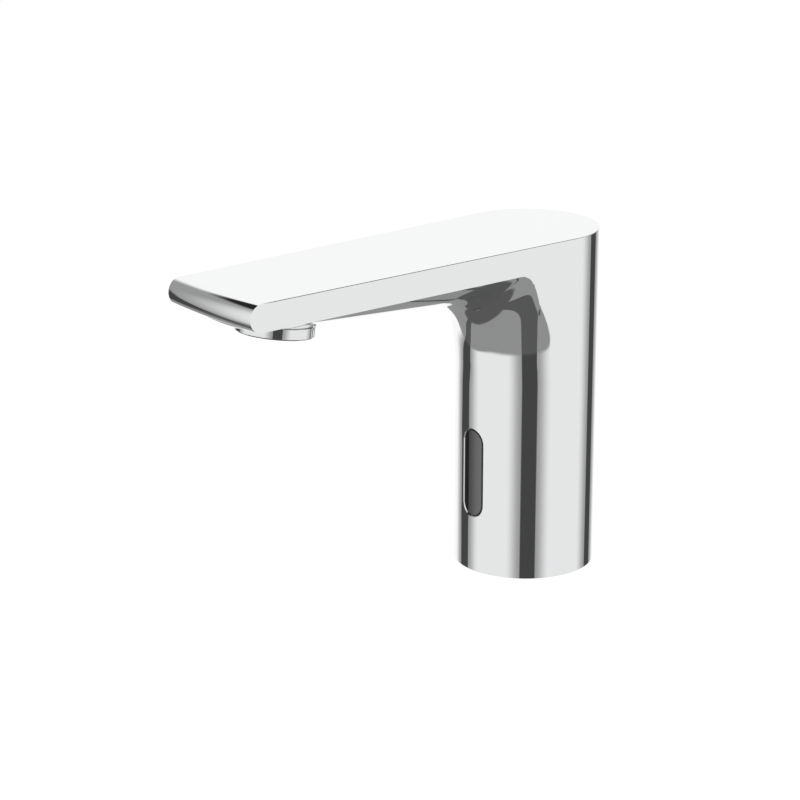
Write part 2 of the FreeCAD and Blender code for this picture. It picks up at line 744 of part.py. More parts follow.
def body_shell():
    form = outer_form()
    hollow = rod("column_hollow", cavity_radius, cavity_top)
    duct_end = -duct_reach
    half_flat = (cell.duct_width - cell.duct_height) / 2
    duct_middle_level = cavity_top - cell.duct_height / 2
    duct_flat = link(doc.addObject("Part::Box", "duct_flat"), Length=2 * half_flat)
    link(duct_flat, Width=duct_reach, Height=cell.duct_height)
    place(duct_flat, -half_flat, duct_end, cavity_top - cell.duct_height)
    duct_sides = [
        rod(
            "duct_side%d" % side,
            cell.duct_height / 2,
            duct_reach,
            side * half_flat,
            0,
            duct_middle_level,
            along_y,
        )
        for side in (-1, 1)
    ]
    thread = rod_on_outlet("outlet_thread", thread_bore, -as_size(2), washer_seat)
    chamber = rod_on_outlet("outlet_chamber", cell.chamber_radius, 0, chamber_top)
    spotface = rod_on_outlet(
        "outlet_spotface", cell.collar_radius + cell.seam, -as_size(3), cell.collar_height + cell.seam
    )
    port_y = -cell.outlet_reach + chamber_top * sine(cell.outlet_tilt)
    port = rod(
        "nipple_port",
        nipple_radius + cell.screw_play,
        -duct_reach - port_y,
        0,
        -duct_reach,
        cell.tube_level,
        along_y,
    )
    grub_hole = rod(
        "grub_hole",
        cell.grub_radius + cell.screw_play,
        cell.side_wall + 1,
        0,
        cell.column_radius + 0.5,
        cell.grub_level,
        along_y,
    )
    opened = cut(
        "casting_opened",
        form,
        hollow,
        duct_flat,
        *duct_sides,
        thread,
        chamber,
        spotface,
        port,
        grub_hole,
        window_prism("window_slot", cell.window_width, cell.window_height),
    )
    bosses = []
    for number, level in enumerate(case_screw_levels):
        boss = rod(
            "sensor_boss%d" % number,
            cell.lug_width / 2,
            cavity_radius + cell.side_wall / 2 - cell.lug_front,
            0,
            -cell.lug_front,
            level,
            along_y,
        )
        pilot = rod(
            "sensor_pilot%d" % number,
            cell.small_screw_radius + cell.screw_play,
            case_screw_depth,
            0,
            -cell.lug_front,
            level,
            along_y,
        )
        bosses.append((boss, pilot))
    whole = fuse("casting_bossed", opened, *[boss for boss, pilot in bosses])
    return cut("body_shell", whole, *[pilot for boss, pilot in bosses])


# ---------------------------------------------------------------- aerator
def straw_grid(name, radius, straw, pitch, low, high):
    """Channels on a six-sided grid inside a radius, along the outlet's axis."""
    steps = int(float(radius) / float(pitch)) + 1
    channels = []
    for row in range(-steps, steps + 1):
        for column in range(-steps, steps + 1):
            x = float(pitch) * (column + row / 2)
            y = float(pitch) * row * math.sqrt(3) / 2
            if math.hypot(x, y) + float(straw) < float(radius):
                length = float(high) - float(low)
                channels.append(Part.makeCylinder(float(straw), length, vector(x, y, float(low))))
    return place_on_outlet(shaped(name, Part.makeCompound(channels)))


def aerator_collar():
    neck_top = cell.collar_height + cell.thread_length
    bore = neck_radius - cell.collar_wall
    mouth = bore - cell.collar_lip
    outer = cell.collar_radius
    points = [
        (mouth, 0),
        (outer - cell.edge_break, 0),
        (outer, cell.edge_break),
        (outer, cell.collar_height - cell.edge_break),
        (outer - cell.edge_break, cell.collar_height),
        (neck_radius, cell.collar_height),
        (neck_radius, neck_top),
        (bore, neck_top),
        (bore, cell.collar_lip),
        (mouth, cell.collar_lip),
    ]
    return turned("aerator_collar", points, on_outlet=True)


def aerator_insert():
    radius = neck_radius - cell.collar_wall - cell.screw_play
    low = cell.collar_lip
    high = low + cell.insert_height
    disc = rod_on_outlet("insert_disc", radius, low, high)
    mouth_radius = radius - cell.insert_rim
    straws = straw_grid("insert_straws", mouth_radius, cell.straw_radius, cell.straw_pitch, 0, high + 1)
    return cut("aerator_insert", disc, straws)


def aerator_screen():
    low = cell.collar_lip + cell.insert_height
    high = low + cell.screen_thickness
    rim = neck_radius - cell.collar_wall - cell.screw_play
    disc = rod_on_outlet("screen_disc", rim, low, high)
    mesh_radius = rim - cell.screen_rim
    holes = straw_grid("screen_holes", mesh_radius, cell.screen_hole, cell.straw_pitch, low - 1, high + 1)
    return cut("aerator_screen", disc, holes)


def aerator_washer():
    low = cell.collar_height + cell.thread_length
    inner = neck_radius - cell.collar_wall
    return ring("aerator_washer", inner, neck_radius, low, washer_seat, on_outlet=True)


# ---------------------------------------------------------------- sensor window and module
def curved_band(name, outer, inner, low, height):
    """Part of a tube about the column's axis."""
    full = rod(name + "_outer", outer, height, 0, 0, low)
    return cut(name, full, rod(name + "_inner", inner, height, 0, 0, low))


def window_piece(name, width, height, surface, back):
    """A racetrack cut from the column's curve, between two radii."""
    band = curved_band(name + "_band", surface, back, cell.window_level - height / 2 - 1, height + 2)
    return common(name, band, window_prism(name + "_racetrack", width, height))


def sensor_lens():
    trim = 2 * cell.gasket_width
    surface = cell.column_radius - cell.lens_recess
    width = cell.window_width - trim
    seat = cell.case_front + cell.lens_seat
    back = root(seat * seat + width * width / 4)
    return window_piece("sensor_lens", width, cell.window_height - trim, surface, back)


def window_gasket():
    trim = 2 * cell.gasket_width
    surface = cell.column_radius - cell.lens_recess * 2
    back = cavity_radius
    full = window_piece("gasket_form", cell.window_width, cell.window_height, surface, back)
    hole = window_prism("gasket_hole", cell.window_width - trim, cell.window_height - trim)
    return cut("window_gasket", full, hole)


def case_box(name, inset, front, depth, height):
    width = cell.case_width - 2 * inset
    box = link(doc.addObject("Part::Box", name), Length=width, Width=depth, Height=height)
    return place(box, -(width / 2), front, cell.window_level - height / 2)


def sensor_case():
    front = -cell.case_front
    outer = case_box("case_outer", as_size(0), front, cell.case_depth, cell.case_height)
    room = case_box(
        "case_room",
        cell.case_wall,
        front + cell.case_wall,
        cell.case_depth,
        cell.case_height - 2 * cell.case_wall,
    )
    lug_height = 2 * cell.lug_reach
    lugs = link(doc.addObject("Part::Box", "case_lugs"), Length=cell.lug_width, Height=lug_height)
    link(lugs, Width=cell.lug_thickness)
    place(lugs, -(cell.lug_width / 2), -cell.lug_front, cell.window_level - cell.lug_reach)
    eyes = [
        rod(
            "case_eye%d" % number,
            cell.eye_radius + cell.eye_play,
            cell.case_wall + 1,
            0,
            front + cell.case_wall + 0.5,
            level,
            along_y,
        )
        for number, level in enumerate(eye_levels)
    ]
    screws = [
        rod(
            "case_screw_hole%d" % number,
            cell.small_screw_radius + cell.screw_play,
            cell.lug_thickness + 1,
            0,
            -cell.lug_front + cell.lug_thickness + 0.5,
            level,
            along_y,
        )
        for number, level in enumerate(case_screw_levels)
    ]
    return cut("sensor_case", fuse("case_form", outer, lugs), room, *eyes, *screws)


def sensor_cover():
    back = -cell.case_front + cell.case_depth
    return case_box("sensor_cover", as_size(0), back, cell.case_wall, cell.case_height)


def sensor_board():
    height = cell.case_height - 2 * cell.case_wall - 1
    return case_box("sensor_board", cell.case_wall + 0.2, sensor_board_y, cell.board_sheet, height)


def sensor_eye(name, level):
    """A round-nosed diode: a straight barrel, its dome and the rim at its foot."""
    straight = cell.eye_length - cell.eye_radius
    barrel = rod(name + "_barrel", cell.eye_radius, straight, 0, sensor_board_y, level, along_y)
    dome = link(doc.addObject("Part::Sphere", name + "_dome"), Radius=cell.eye_radius)
    place(dome, 0, sensor_board_y - straight, level)
    return fuse(name, barrel, dome)


def screw_down(name, x, y, seat, length):
    """An M3 cap screw with its head on top of a seat."""
    shank = rod(name + "_shank", cell.screw_radius, length, x, y, seat - length)
    head = rod(name + "_head", cell.screw_head_radius, cell.screw_head_height, x, y, seat)
    return fuse(name, shank, head)


def screw_up(name, x, y, seat, length):
    """An M3 cap screw with its head under a seat."""
    shank = rod(name + "_shank", cell.screw_radius, length, x, y, seat)
    low = seat - cell.screw_head_height
    head = rod(name + "_head", cell.screw_head_radius, cell.screw_head_height, x, y, low)
    return fuse(name, shank, head)


def screw_forward(name, level, seat_y, length):
    """An M2.5 screw along Y, its head behind a seat."""
    shank = rod(name + "_shank", cell.small_screw_radius, length, 0, seat_y, level, along_y)
    head_y = seat_y + cell.small_head_height
    head = rod(name + "_head", cell.small_head_radius, cell.small_head_height, 0, head_y, level, along_y)
    return fuse(name, shank, head)


def sensor_screws():
    seat = -cell.lug_front + cell.lug_thickness
    screws = [
        screw_forward("sensor_screw%d" % number, level, seat, cell.small_screw_length)
        for number, level in enumerate(case_screw_levels)
    ]
    return group("sensor_screws", *screws)


# ---------------------------------------------------------------- base
def base_plate():
    socket_outer = cell.socket_radius + cell.socket_wall
    points = [
        (cell.inlet_radius, 0),
        (seal_inner, 0),
        (seal_inner, cell.seal_height),
        (seal_outer, cell.seal_height),
        (seal_outer, 0),
        (base_radius, 0),
        (base_radius, cell.base_height),
        (socket_outer, cell.base_height),
        (socket_outer, cell.socket_top),
        (cell.socket_radius, cell.socket_top),
        (cell.socket_radius, cell.socket_floor),
        (cell.waterway_radius, cell.socket_floor),
        (cell.waterway_radius, cell.inlet_depth),
        (cell.inlet_radius, cell.inlet_depth),
    ]
    disc = turned("base_disc", points)
    holes = []
    for side in (-1, 1):
        stud_y = side * cell.stud_spacing / 2
        holes.append(rod("stud_hole%d" % side, cell.stud_radius, cell.stud_depth, 0, stud_y, 0))
        leg_x = side * leg_reach
        bore = cell.screw_radius + cell.screw_play
        holes.append(rod("leg_screw_hole%d" % side, bore, cell.base_height, leg_x, 0, 0))
        recess = cell.screw_head_radius + 0.2
        holes.append(rod("leg_recess%d" % side, recess, cell.leg_screw_recess, leg_x, 0, 0))
    grub = cell.grub_radius + cell.screw_play
    holes.append(rod("grub_thread", grub, grub_depth, 0, cell.column_radius, cell.grub_level, along_y))
    return cut("base_plate", disc, *holes)


def deck_seal():
    return ring("deck_seal", seal_inner, seal_outer, 0, cell.seal_height)


def grub_screw():
    y = cell.column_radius - cell.grub_inset
    barrel = rod("grub_barrel", cell.grub_radius, cell.grub_length, 0, y, cell.grub_level, along_y)
    socket = doc.addObject("Part::Prism", "grub_socket")
    socket.Polygon = 6
    link(socket, Circumradius=cell.hex_width / math.sqrt(3), Height=cell.hex_width)
    place(socket, 0, y, cell.grub_level, along_y)
    return cut("grub_screw", barrel, socket)


def leg_screws():
    seat = cell.leg_screw_recess
    screws = [
        screw_up("leg_screw%d" % side, side * leg_reach, 0, seat, cell.leg_screw_length)
        for side in (-1, 1)
    ]
    return group("leg_screws", *screws)


# ---------------------------------------------------------------- inlet and check valve
def inlet_filter():
    rim = cell.cartridge_radius - cell.cage_play
    low = cell.filter_bottom
    rim_top = low + cell.filter_rim
    top = low + cell.filter_height
    cloth = cell.filter_cloth
    points = [
        (rim - 1.2, low),
        (rim, low),
        (rim, rim_top),
        (rim - 0.8, rim_top),
        (1.4, top),
        (0, top),
        (0, top - cloth),
        (1.2, top - cloth),
    ]
    return turned("inlet_filter", points)


def check_cage():
    outer = cell.cartridge_radius - cell.cage_play
    inner = outer - cell.cage_wall
    low = cell.cage_bottom
    high = low + cell.cage_height
    seat_top = low + cell.cage_seat
    guide_low = high - cell.cage_seat
    guide_bore = cell.stem_radius + cell.stem_play
    points = [
        (cell.cage_mouth, low),
        (outer, low),
        (outer, high),
        (guide_bore, high),
        (guide_bore, guide_low),
        (inner, guide_low),
        (inner, seat_top),
        (cell.cage_mouth, seat_top),
    ]
    form = turned("cage_form", points)
    ports = []
    for number in range(4):
        angle = math.pi / 2 * number + math.pi / 4
        reach = (inner + guide_bore) / 2
        port_x = reach * math.cos(angle)
        port_y = reach * math.sin(angle)
        size = (inner - guide_bore) / 2 - 0.4
        ports.append(rod("cage_port%d" % number, size, cell.cage_seat + 1, port_x, port_y, guide_low - 0.5))
    return cut("check_cage", form, *ports)


def check_poppet():
    low = cell.cage_bottom + cell.cage_seat
    disc_top = low + cell.poppet_disc
    top = cell.cage_bottom + cell.cage_height - 0.3
    points = [
        (0, low),
        (cell.poppet_radius, low),
        (cell.poppet_radius, disc_top),
        (cell.stem_radius, disc_top),
        (cell.stem_radius, top),
        (0, top),
    ]
    return turned("check_poppet", points)


def check_spring():
    low = cell.cage_bottom + cell.cage_seat + cell.poppet_disc + cell.spring_gap
    high = cell.cage_bottom + cell.cage_height - cell.cage_seat - cell.spring_gap
    return spring("check_spring", cell.check_coil, cell.spring_wire, low, high)


# ---------------------------------------------------------------- valve
def tube_relief(name, low, height):
    """Room for the outlet tube behind the valve."""
    return rod(name, cell.tube_radius + 0.2, height, 0, cell.tube_back, low)


def valve_body():
    spigot_radius = cell.socket_radius - cell.spigot_play
    spigot_low = cell.socket_floor + 0.1
    spigot = rod("spigot", spigot_radius, cell.valve_bottom - spigot_low, 0, 0, spigot_low)
    height = cell.valve_top - cell.valve_bottom
    width = cell.valve_width
    low = cell.valve_bottom
    square = rounded_block("valve_square", width, width, height, cell.valve_corner, 0, valve_y, low)
    notched = cut("valve_notched", square, tube_relief("valve_relief", cell.lug_top, height))
    lug_low = low + cell.lug_step
    lug = rod("valve_lug", cell.lug_radius, cell.lug_top - lug_low, 0, cell.tube_back, lug_low)
    barb_radius = cell.tube_bore - cell.barb_play
    barb = rod("valve_barb", barb_radius, cell.barb_length, 0, cell.tube_back, cell.lug_top)
    form = fuse("valve_form", spigot, notched, lug, barb)
    bore_low = cell.socket_floor
    bore = rod("cartridge_bore", cell.cartridge_radius, cell.cartridge_top - bore_low, 0, 0, bore_low)
    moat_low = cell.valve_top - cell.moat_depth
    moat_inner = cell.waterway_radius + cell.seat_wall
    moat = ring("moat", moat_inner, cell.moat_radius, moat_low, cell.valve_top + 1, 0, valve_y)
    riser_y = valve_y - (moat_inner + cell.moat_radius) / 2
    riser_low = cell.cartridge_top - 0.5
    riser = rod("riser", cell.riser_radius, moat_low - riser_low + 0.5, 0, riser_y, riser_low)
    well_low = cell.outlet_level - cell.outlet_bore - cell.well_step
    well = rod("seat_well", cell.waterway_radius, cell.valve_top - well_low, 0, valve_y, well_low)
    passage_length = cell.tube_back - valve_y
    passage = rod(
        "outlet_passage", cell.outlet_bore, passage_length, 0, cell.tube_back, cell.outlet_level, along_y
    )
    barb_top = cell.lug_top + cell.barb_length
    barb_bore = rod(
        "barb_bore",
        cell.outlet_bore - 0.3,
        barb_top - cell.outlet_level,
        0,
        cell.tube_back,
        cell.outlet_level,
    )
    groove = ring(
        "spigot_groove",
        spigot_radius - cell.ring_width,
        spigot_radius + 1,
        cell.ring_level,
        cell.ring_level + cell.ring_groove,
    )
    holes = valve_screw_holes("valve_thread", cell.valve_screw_length, bonnet_top)
    return cut("valve_body", form, bore, moat, riser, well, passage, barb_bore, groove, *holes)


def valve_screw_spots():
    reach = cell.valve_screw_pitch / 2
    return [(x * reach, valve_y + y * reach) for x in (-1, 1) for y in (-1, 1)]


def valve_screw_holes(name, depth, top):
    bore = cell.screw_radius + cell.screw_play
    return [
        rod("%s%d" % (name, number), bore, depth, x, y, top - depth)
        for number, (x, y) in enumerate(valve_screw_spots())
    ]


def spigot_ring():
    outer = cell.socket_radius - 0.02
    inner = cell.socket_radius - cell.spigot_play - cell.ring_width + 0.02
    low = cell.ring_level + 0.1
    return ring("spigot_ring", inner, outer, low, cell.ring_level + cell.ring_groove - 0.1)


def diaphragm():
    low = cell.valve_top
    high = low + cell.diaphragm_thickness
    return ring("diaphragm", cell.hub_radius + 0.03, cell.diaphragm_radius, low, high, 0, valve_y)


def diaphragm_plate():
    low = cell.valve_top + cell.diaphragm_thickness
    hub_low = cell.valve_top
    hub_top = hub_low + cell.hub_height
    plate_top = low + cell.plate_thickness
    points = [
        (cell.pilot_radius, hub_low),
        (cell.hub_radius, hub_low),
        (cell.hub_radius, low),
        (cell.plate_radius, low),
        (cell.plate_radius, plate_top),
        (cell.hub_radius, plate_top),
        (cell.hub_radius, hub_top),
        (cell.pilot_radius, hub_top),
    ]
    return turned("diaphragm_plate", points, 0, valve_y)


def valve_bonnet():
    width = cell.valve_width
    low = cell.valve_top
    thickness = cell.bonnet_thickness
    square = rounded_block("bonnet_square", width, width, thickness, cell.valve_corner, 0, valve_y, low)
    tube_height = cell.core_tube_top - low - 1
    tube = rod("core_tube", cell.core_tube_radius, tube_height, 0, valve_y, low + 1)
    pocket_top = low + cell.diaphragm_thickness
    pocket = rod("bonnet_pocket", cell.diaphragm_radius + 0.1, cell.diaphragm_thickness, 0, valve_y, low)
    room_height = cell.plate_thickness + cell.diaphragm_lift + cell.diaphragm_play
    room = rod("bonnet_room", cell.moat_radius - 1, room_height, 0, valve_y, pocket_top)
    bore = rod("core_bore", cell.core_tube_bore, tube_height + 1, 0, valve_y, low)
    relief = tube_relief("bonnet_relief", low, cell.bonnet_thickness)
    holes = valve_screw_holes("bonnet_hole", cell.bonnet_thickness, bonnet_top)
    return cut("valve_bonnet", fuse("bonnet_form", square, tube), pocket, room, bore, relief, *holes)


def plunger_low():
    return cell.valve_top + cell.hub_height + cell.tip_proud


def plunger():
    low = plunger_low()
    high = low + cell.plunger_length
    radius = cell.core_tube_bore - cell.plunger_play
    recess_top = low + cell.tip_length - cell.tip_proud
    points = [
        (cell.tip_radius, low),
        (radius - cell.edge_break, low),
        (radius, low + cell.edge_break),
        (radius, high),
        (cell.pocket_radius, high),
        (cell.pocket_radius, high - cell.pocket_depth),
        (0, high - cell.pocket_depth),
        (0, recess_top),
        (cell.tip_radius, recess_top),
    ]
    return turned("plunger", points, 0, valve_y)


def plunger_tip():
    low = plunger_low() - cell.tip_proud
    return rod("plunger_tip", cell.tip_radius, cell.tip_length, 0, valve_y, low)


def core_low():
    return plunger_low() + cell.plunger_length + cell.plunger_travel + cell.stop_play


def fixed_core():
    radius = cell.core_tube_bore - cell.screw_play
    head_top = cell.core_tube_top + cell.core_head
    points = [
        (0, core_low()),
        (radius, core_low()),
        (radius, cell.core_tube_top),
        (cell.core_tube_radius, cell.core_tube_top),
        (cell.core_tube_radius, head_top),
        (0, head_top),
    ]
    return turned("fixed_core", points, 0, valve_y)


def plunger_spring():
    low = plunger_low() + cell.plunger_length - cell.pocket_depth + cell.spring_gap
    high = core_low() - cell.spring_gap
    return spring("plunger_spring", cell.plunger_coil, cell.spring_wire, low, high, 0, valve_y)


def latch_magnet():
    low = cell.core_tube_top + cell.core_head
    return rod("latch_magnet", cell.magnet_radius, cell.magnet_height, 0, valve_y, low)


def coil_space():
    low = bonnet_top + cell.yoke_sheet
    return low, cell.core_tube_top - cell.yoke_sheet


def coil_bobbin():
    low, high = coil_space()
    inner = cell.core_tube_radius + 0.05
    hub = inner + cell.bobbin_wall
    points = [
        (inner, low),
        (cell.bobbin_radius, low),
        (cell.bobbin_radius, low + cell.bobbin_wall),
        (hub, low + cell.bobbin_wall),
        (hub, high - cell.bobbin_wall),
        (cell.bobbin_radius, high - cell.bobbin_wall),
        (cell.bobbin_radius, high),
        (inner, high),
    ]
    return turned("coil_bobbin", points, 0, valve_y)


def coil_winding():
    low, high = coil_space()
    hub = cell.core_tube_radius + 0.05 + cell.bobbin_wall
    outer = cell.bobbin_radius - cell.winding_inset
    bottom = low + cell.bobbin_wall
    return ring("coil_winding", hub, outer, bottom, high - cell.bobbin_wall, 0, valve_y)


def coil_yoke():
    half = cell.yoke_half_width
    low = bonnet_top
    height = cell.core_tube_top - low
    frame = block("yoke_frame", 2 * half, cell.yoke_depth, height, 0, valve_y, low)
    sheet_wall = cell.yoke_sheet
    room = block(
        "yoke_room",
        2 * (half - sheet_wall),
        cell.yoke_depth + 2,
        height - 2 * sheet_wall,
        0,
        valve_y,
        low + sheet_wall,
    )
    bore = rod("yoke_bore", cell.core_tube_radius + 0.05, height, 0, valve_y, low)
    return cut("coil_yoke", frame, room, bore)


def valve_screws():
    screws = [
        screw_down("valve_screw%d" % number, x, y, bonnet_top, cell.valve_screw_length)
        for number, (x, y) in enumerate(valve_screw_spots())
    ]
    return group("valve_screws", *screws)


# ---------------------------------------------------------------- water way to the spout
def outlet_tube():
    """A flexible tube from the valve's barb, up the column and along the spout."""
    back = float(cell.tube_back)
    level = float(cell.tube_level)
    end = -float(duct_reach) + float(cell.nipple_flange)
    points = [
        vector(0, back, float(cell.lug_top)),
        vector(0, back, level),
        vector(0, end, level),
    ]
    path = bent_path(points, float(cell.tube_bend))
    outer = tube_along(path, float(cell.tube_radius))
    inner = tube_along(path, float(cell.tube_bore))
    return shaped("outlet_tube", outer.cut(inner))


def spout_nipple():
    """A threaded nipple from the outlet chamber, with a barb into the tube."""
    end = -duct_reach
    level = cell.tube_level
    stem = rod("nipple_stem", nipple_radius, nipple_reach, 0, end, level, along_y)
    flange_y = end + cell.nipple_flange
    flange = rod("nipple_flange_disc", cell.tube_radius, cell.nipple_flange, 0, flange_y, level, along_y)
    barb_y = flange_y + cell.barb_length
    barb = rod(
        "nipple_barb", cell.tube_bore - cell.barb_play, cell.barb_length, 0, barb_y, level, along_y
    )
    length = nipple_reach + cell.nipple_flange + cell.barb_length
    bore = rod("nipple_bore", cell.outlet_bore - 0.3, length, 0, barb_y, level, along_y)
    return cut("spout_nipple", fuse("nipple_form", stem, flange, barb), bore)


# ---------------------------------------------------------------- power and control
def battery_centre():
    return -cell.battery_front


def battery_low():
    return cell.holder_bottom + cell.holder_floor + cell.contact_sheet


def battery_pack():
    """Two cells side by side in one sleeve."""
    return racetrack(
        "battery_pack",
        cell.battery_width,
        cell.battery_depth,
        cell.battery_height,
        0,
        battery_centre(),
        battery_low(),
    )


def holder_outline(name, grow, low, height):
    return racetrack(
        name,
        cell.battery_width + 2 * grow,
        cell.battery_depth + 2 * grow,
        height,
        0,
        battery_centre(),
        low,
    )


def battery_holder():
    low = cell.holder_bottom
    cup = holder_outline("holder_cup", cell.battery_play + cell.holder_wall, low, cell.holder_height)
    room = holder_outline("holder_room", cell.battery_play, low + cell.holder_floor, cell.holder_height)
    legs = []
    pilots = []
    for side in (-1, 1):
        x = side * leg_reach
        legs.append(rod("leg%d" % side, cell.leg_radius, low - cell.base_height, x, 0, cell.base_height))
        legs.append(rod("leg_pad%d" % side, cell.foot_radius, cell.holder_floor, x, 0, low))
        depth = cell.leg_screw_length
        bore = cell.screw_radius + cell.screw_play
        pilots.append(rod("leg_pilot%d" % side, bore, depth, x, 0, cell.base_height))
    bosses = []
    for number, level in enumerate(control_screw_levels):
        length = cell.control_gap + cell.holder_wall / 2
        bosses.append(
            rod("board_boss%d" % number, cell.small_head_radius, length, 0, control_y, level, along_y)
        )
        pilots.append(
            rod(
                "board_pilot%d" % number,
                cell.small_screw_radius - 0.2,
                cell.control_gap + 1,
                0,
                control_y,
                level,
                along_y,
            )
        )
    hollowed = cut("holder_hollowed", cup, room)
    return cut("battery_holder", fuse("holder_form", hollowed, *legs, *bosses), *pilots)


def battery_lid():
    holder_top = cell.holder_bottom + cell.holder_height
    battery_top = battery_low() + cell.battery_height
    grow = cell.battery_play + cell.holder_wall
    height = battery_top - holder_top + 0.1
    cap = holder_outline("lid_cap", grow, holder_top, height + cell.holder_wall)
    room = holder_outline("lid_room", cell.battery_play, holder_top, height)
    return cut("battery_lid", cap, room)


def battery_contacts():
    low = cell.holder_bottom + cell.holder_floor
    strips = []
    for side in (-1, 1):
        x = side * (cell.battery_width - cell.battery_depth) / 2
        strips.append(
            block(
                "contact%d" % side,
                cell.contact_width,
                cell.contact_length,
                cell.contact_sheet,
                x,
                battery_centre(),
                low,
            )
        )
    return group("battery_contacts", *strips)


def control_board():
    board = link(doc.addObject("Part::Box", "board_sheet_form"), Length=cell.control_width)
    link(board, Width=cell.board_sheet, Height=cell.control_height)
    place(board, -(cell.control_width / 2), control_y, cell.control_bottom)
    holes = [
        rod(
            "board_hole%d" % number,
            cell.small_screw_radius - 0.2,
            cell.board_sheet + 1,
            0,
            control_y + cell.board_sheet + 0.5,
            level,
            along_y,
        )
        for number, level in enumerate(control_screw_levels)
    ]
    return cut("control_board", board, *holes)


def control_chips():
    """The controller, its driver, a reservoir capacitor and the plug for the leads."""
    back = control_y + cell.board_sheet
    chips = []
    for name, x, z, wide, tall, thick in (
        ("controller", -7, 18, 7, 7, 1),
        ("driver", 7.5, 22, 5, 6, 1),
        ("lead_socket", 7.5, 6, 8, 5, 2),
    ):
        chip = link(doc.addObject("Part::Box", name), Width=thick * cell.chip_height)
        chip.Length = wide
        chip.Height = tall
        chips.append(place(chip, x - wide / 2, back, cell.control_bottom + z - tall / 2))
    capacitor = rod("capacitor", 2.5, 3, -7, back + 3, cell.control_bottom + 7, along_y)
    return group("control_chips", *chips, capacitor)


def control_screws():
    seat = control_y + cell.board_sheet
    screws = []
    for number, level in enumerate(control_screw_levels):
        radius = cell.small_screw_radius - 0.25
        length = cell.board_sheet + cell.control_gap + 0.5
        shank = rod("control_shank%d" % number, radius, length, 0, seat, level, along_y)
        head = rod("control_head%d" % number, 1.9, 1.2, 0, seat + 1.2, level, along_y)
        screws.append(fuse("control_screw%d" % number, shank, head))
    return group("control_screws", *screws)


def lead(name, points, bend):
    path = bent_path([vector(*[float(size) for size in point]) for point in points], bend)
    return tube_along(path, float(cell.lead_radius))


def lead_plug_y():
    return control_y + cell.board_sheet + 2 * cell.chip_height


def sensor_lead():
    """From the sensor's cover, past the coil, up to the control board's plug."""
    start_y = -cell.case_front + cell.case_depth + cell.case_wall
    start_z = cell.window_level + cell.lead_exit
    front_y = valve_y - cell.bobbin_radius - cell.lead_radius - cell.lead_clear
    over_z = cell.core_tube_top + cell.lead_over
    beside = cell.yoke_half_width + cell.lead_beside
    turn_z = cell.core_tube_top + cell.lead_turn
    rise_y = valve_y + cell.lead_back
    plug_z = cell.control_bottom + cell.plug_level
    points = [
        (cell.lead_side, start_y, start_z),
        (cell.lead_side, front_y, start_z),
        (2 * cell.lead_side, front_y, over_z),
        (beside, valve_y + cell.yoke_depth / 6, turn_z),
        (cell.lead_rise, rise_y, cell.holder_bottom + cell.lead_gap),
        (cell.lead_rise, rise_y, plug_z),
        (cell.lead_rise, lead_plug_y(), plug_z),
    ]
    return shaped("sensor_lead", lead("sensor_lead", points, float(cell.lead_bend)))


def coil_leads():
    """From the bobbin's top flange to the control board's plug."""
    low, high = coil_space()
    turn_z = cell.core_tube_top + cell.coil_lead_level
    rise_y = valve_y + cell.lead_back
    rise_z = cell.holder_bottom + 1.5 * cell.lead_gap
    wires = []
    # each wire: beside the middle plane, behind the valve's axis, above or below the plug's middle
    for beside, behind, offset in ((0.447, 0.796, -1.1), (0.66, 0.689, 1.35)):
        x = beside * cell.bobbin_radius
        y = valve_y + behind * cell.bobbin_radius
        level = cell.control_bottom + cell.plug_level + offset * cell.lead_radius
        points = [
            (x, y, high),
            (x, y, turn_z),
            (x, rise_y, rise_z),
            (x, rise_y, level),
            (x, lead_plug_y(), level),
        ]
        wires.append(lead("coil_lead", points, float(cell.coil_lead_bend)))
    return shaped("coil_leads", Part.makeCompound(wires))


# ---------------------------------------------------------------- places used by several pieces
nipple_radius = cell.outlet_bore + 0.4
nipple_reach = as_size(2.4)
case_screw_depth = cell.small_screw_length - cell.lug_thickness + 0.4
case_screw_levels = [
    cell.window_level - cell.case_screw_reach,
    cell.window_level + cell.case_screw_reach,
]
eye_levels = [
    cell.window_level - cell.eye_spacing / 2,
    cell.window_level + cell.eye_spacing / 2,
]
sensor_board_y = -cell.case_front + cell.case_depth - cell.board_sheet - 0.1
grub_depth = cell.grub_inset + cell.grub_length + 0.2
control_y = (
    -cell.battery_front + cell.battery_depth / 2 + cell.battery_play + cell.holder_wall + cell.control_gap
)
control_screw_levels = [
    cell.control_bottom + 5,
    cell.control_bottom + cell.control_height - 5,
]

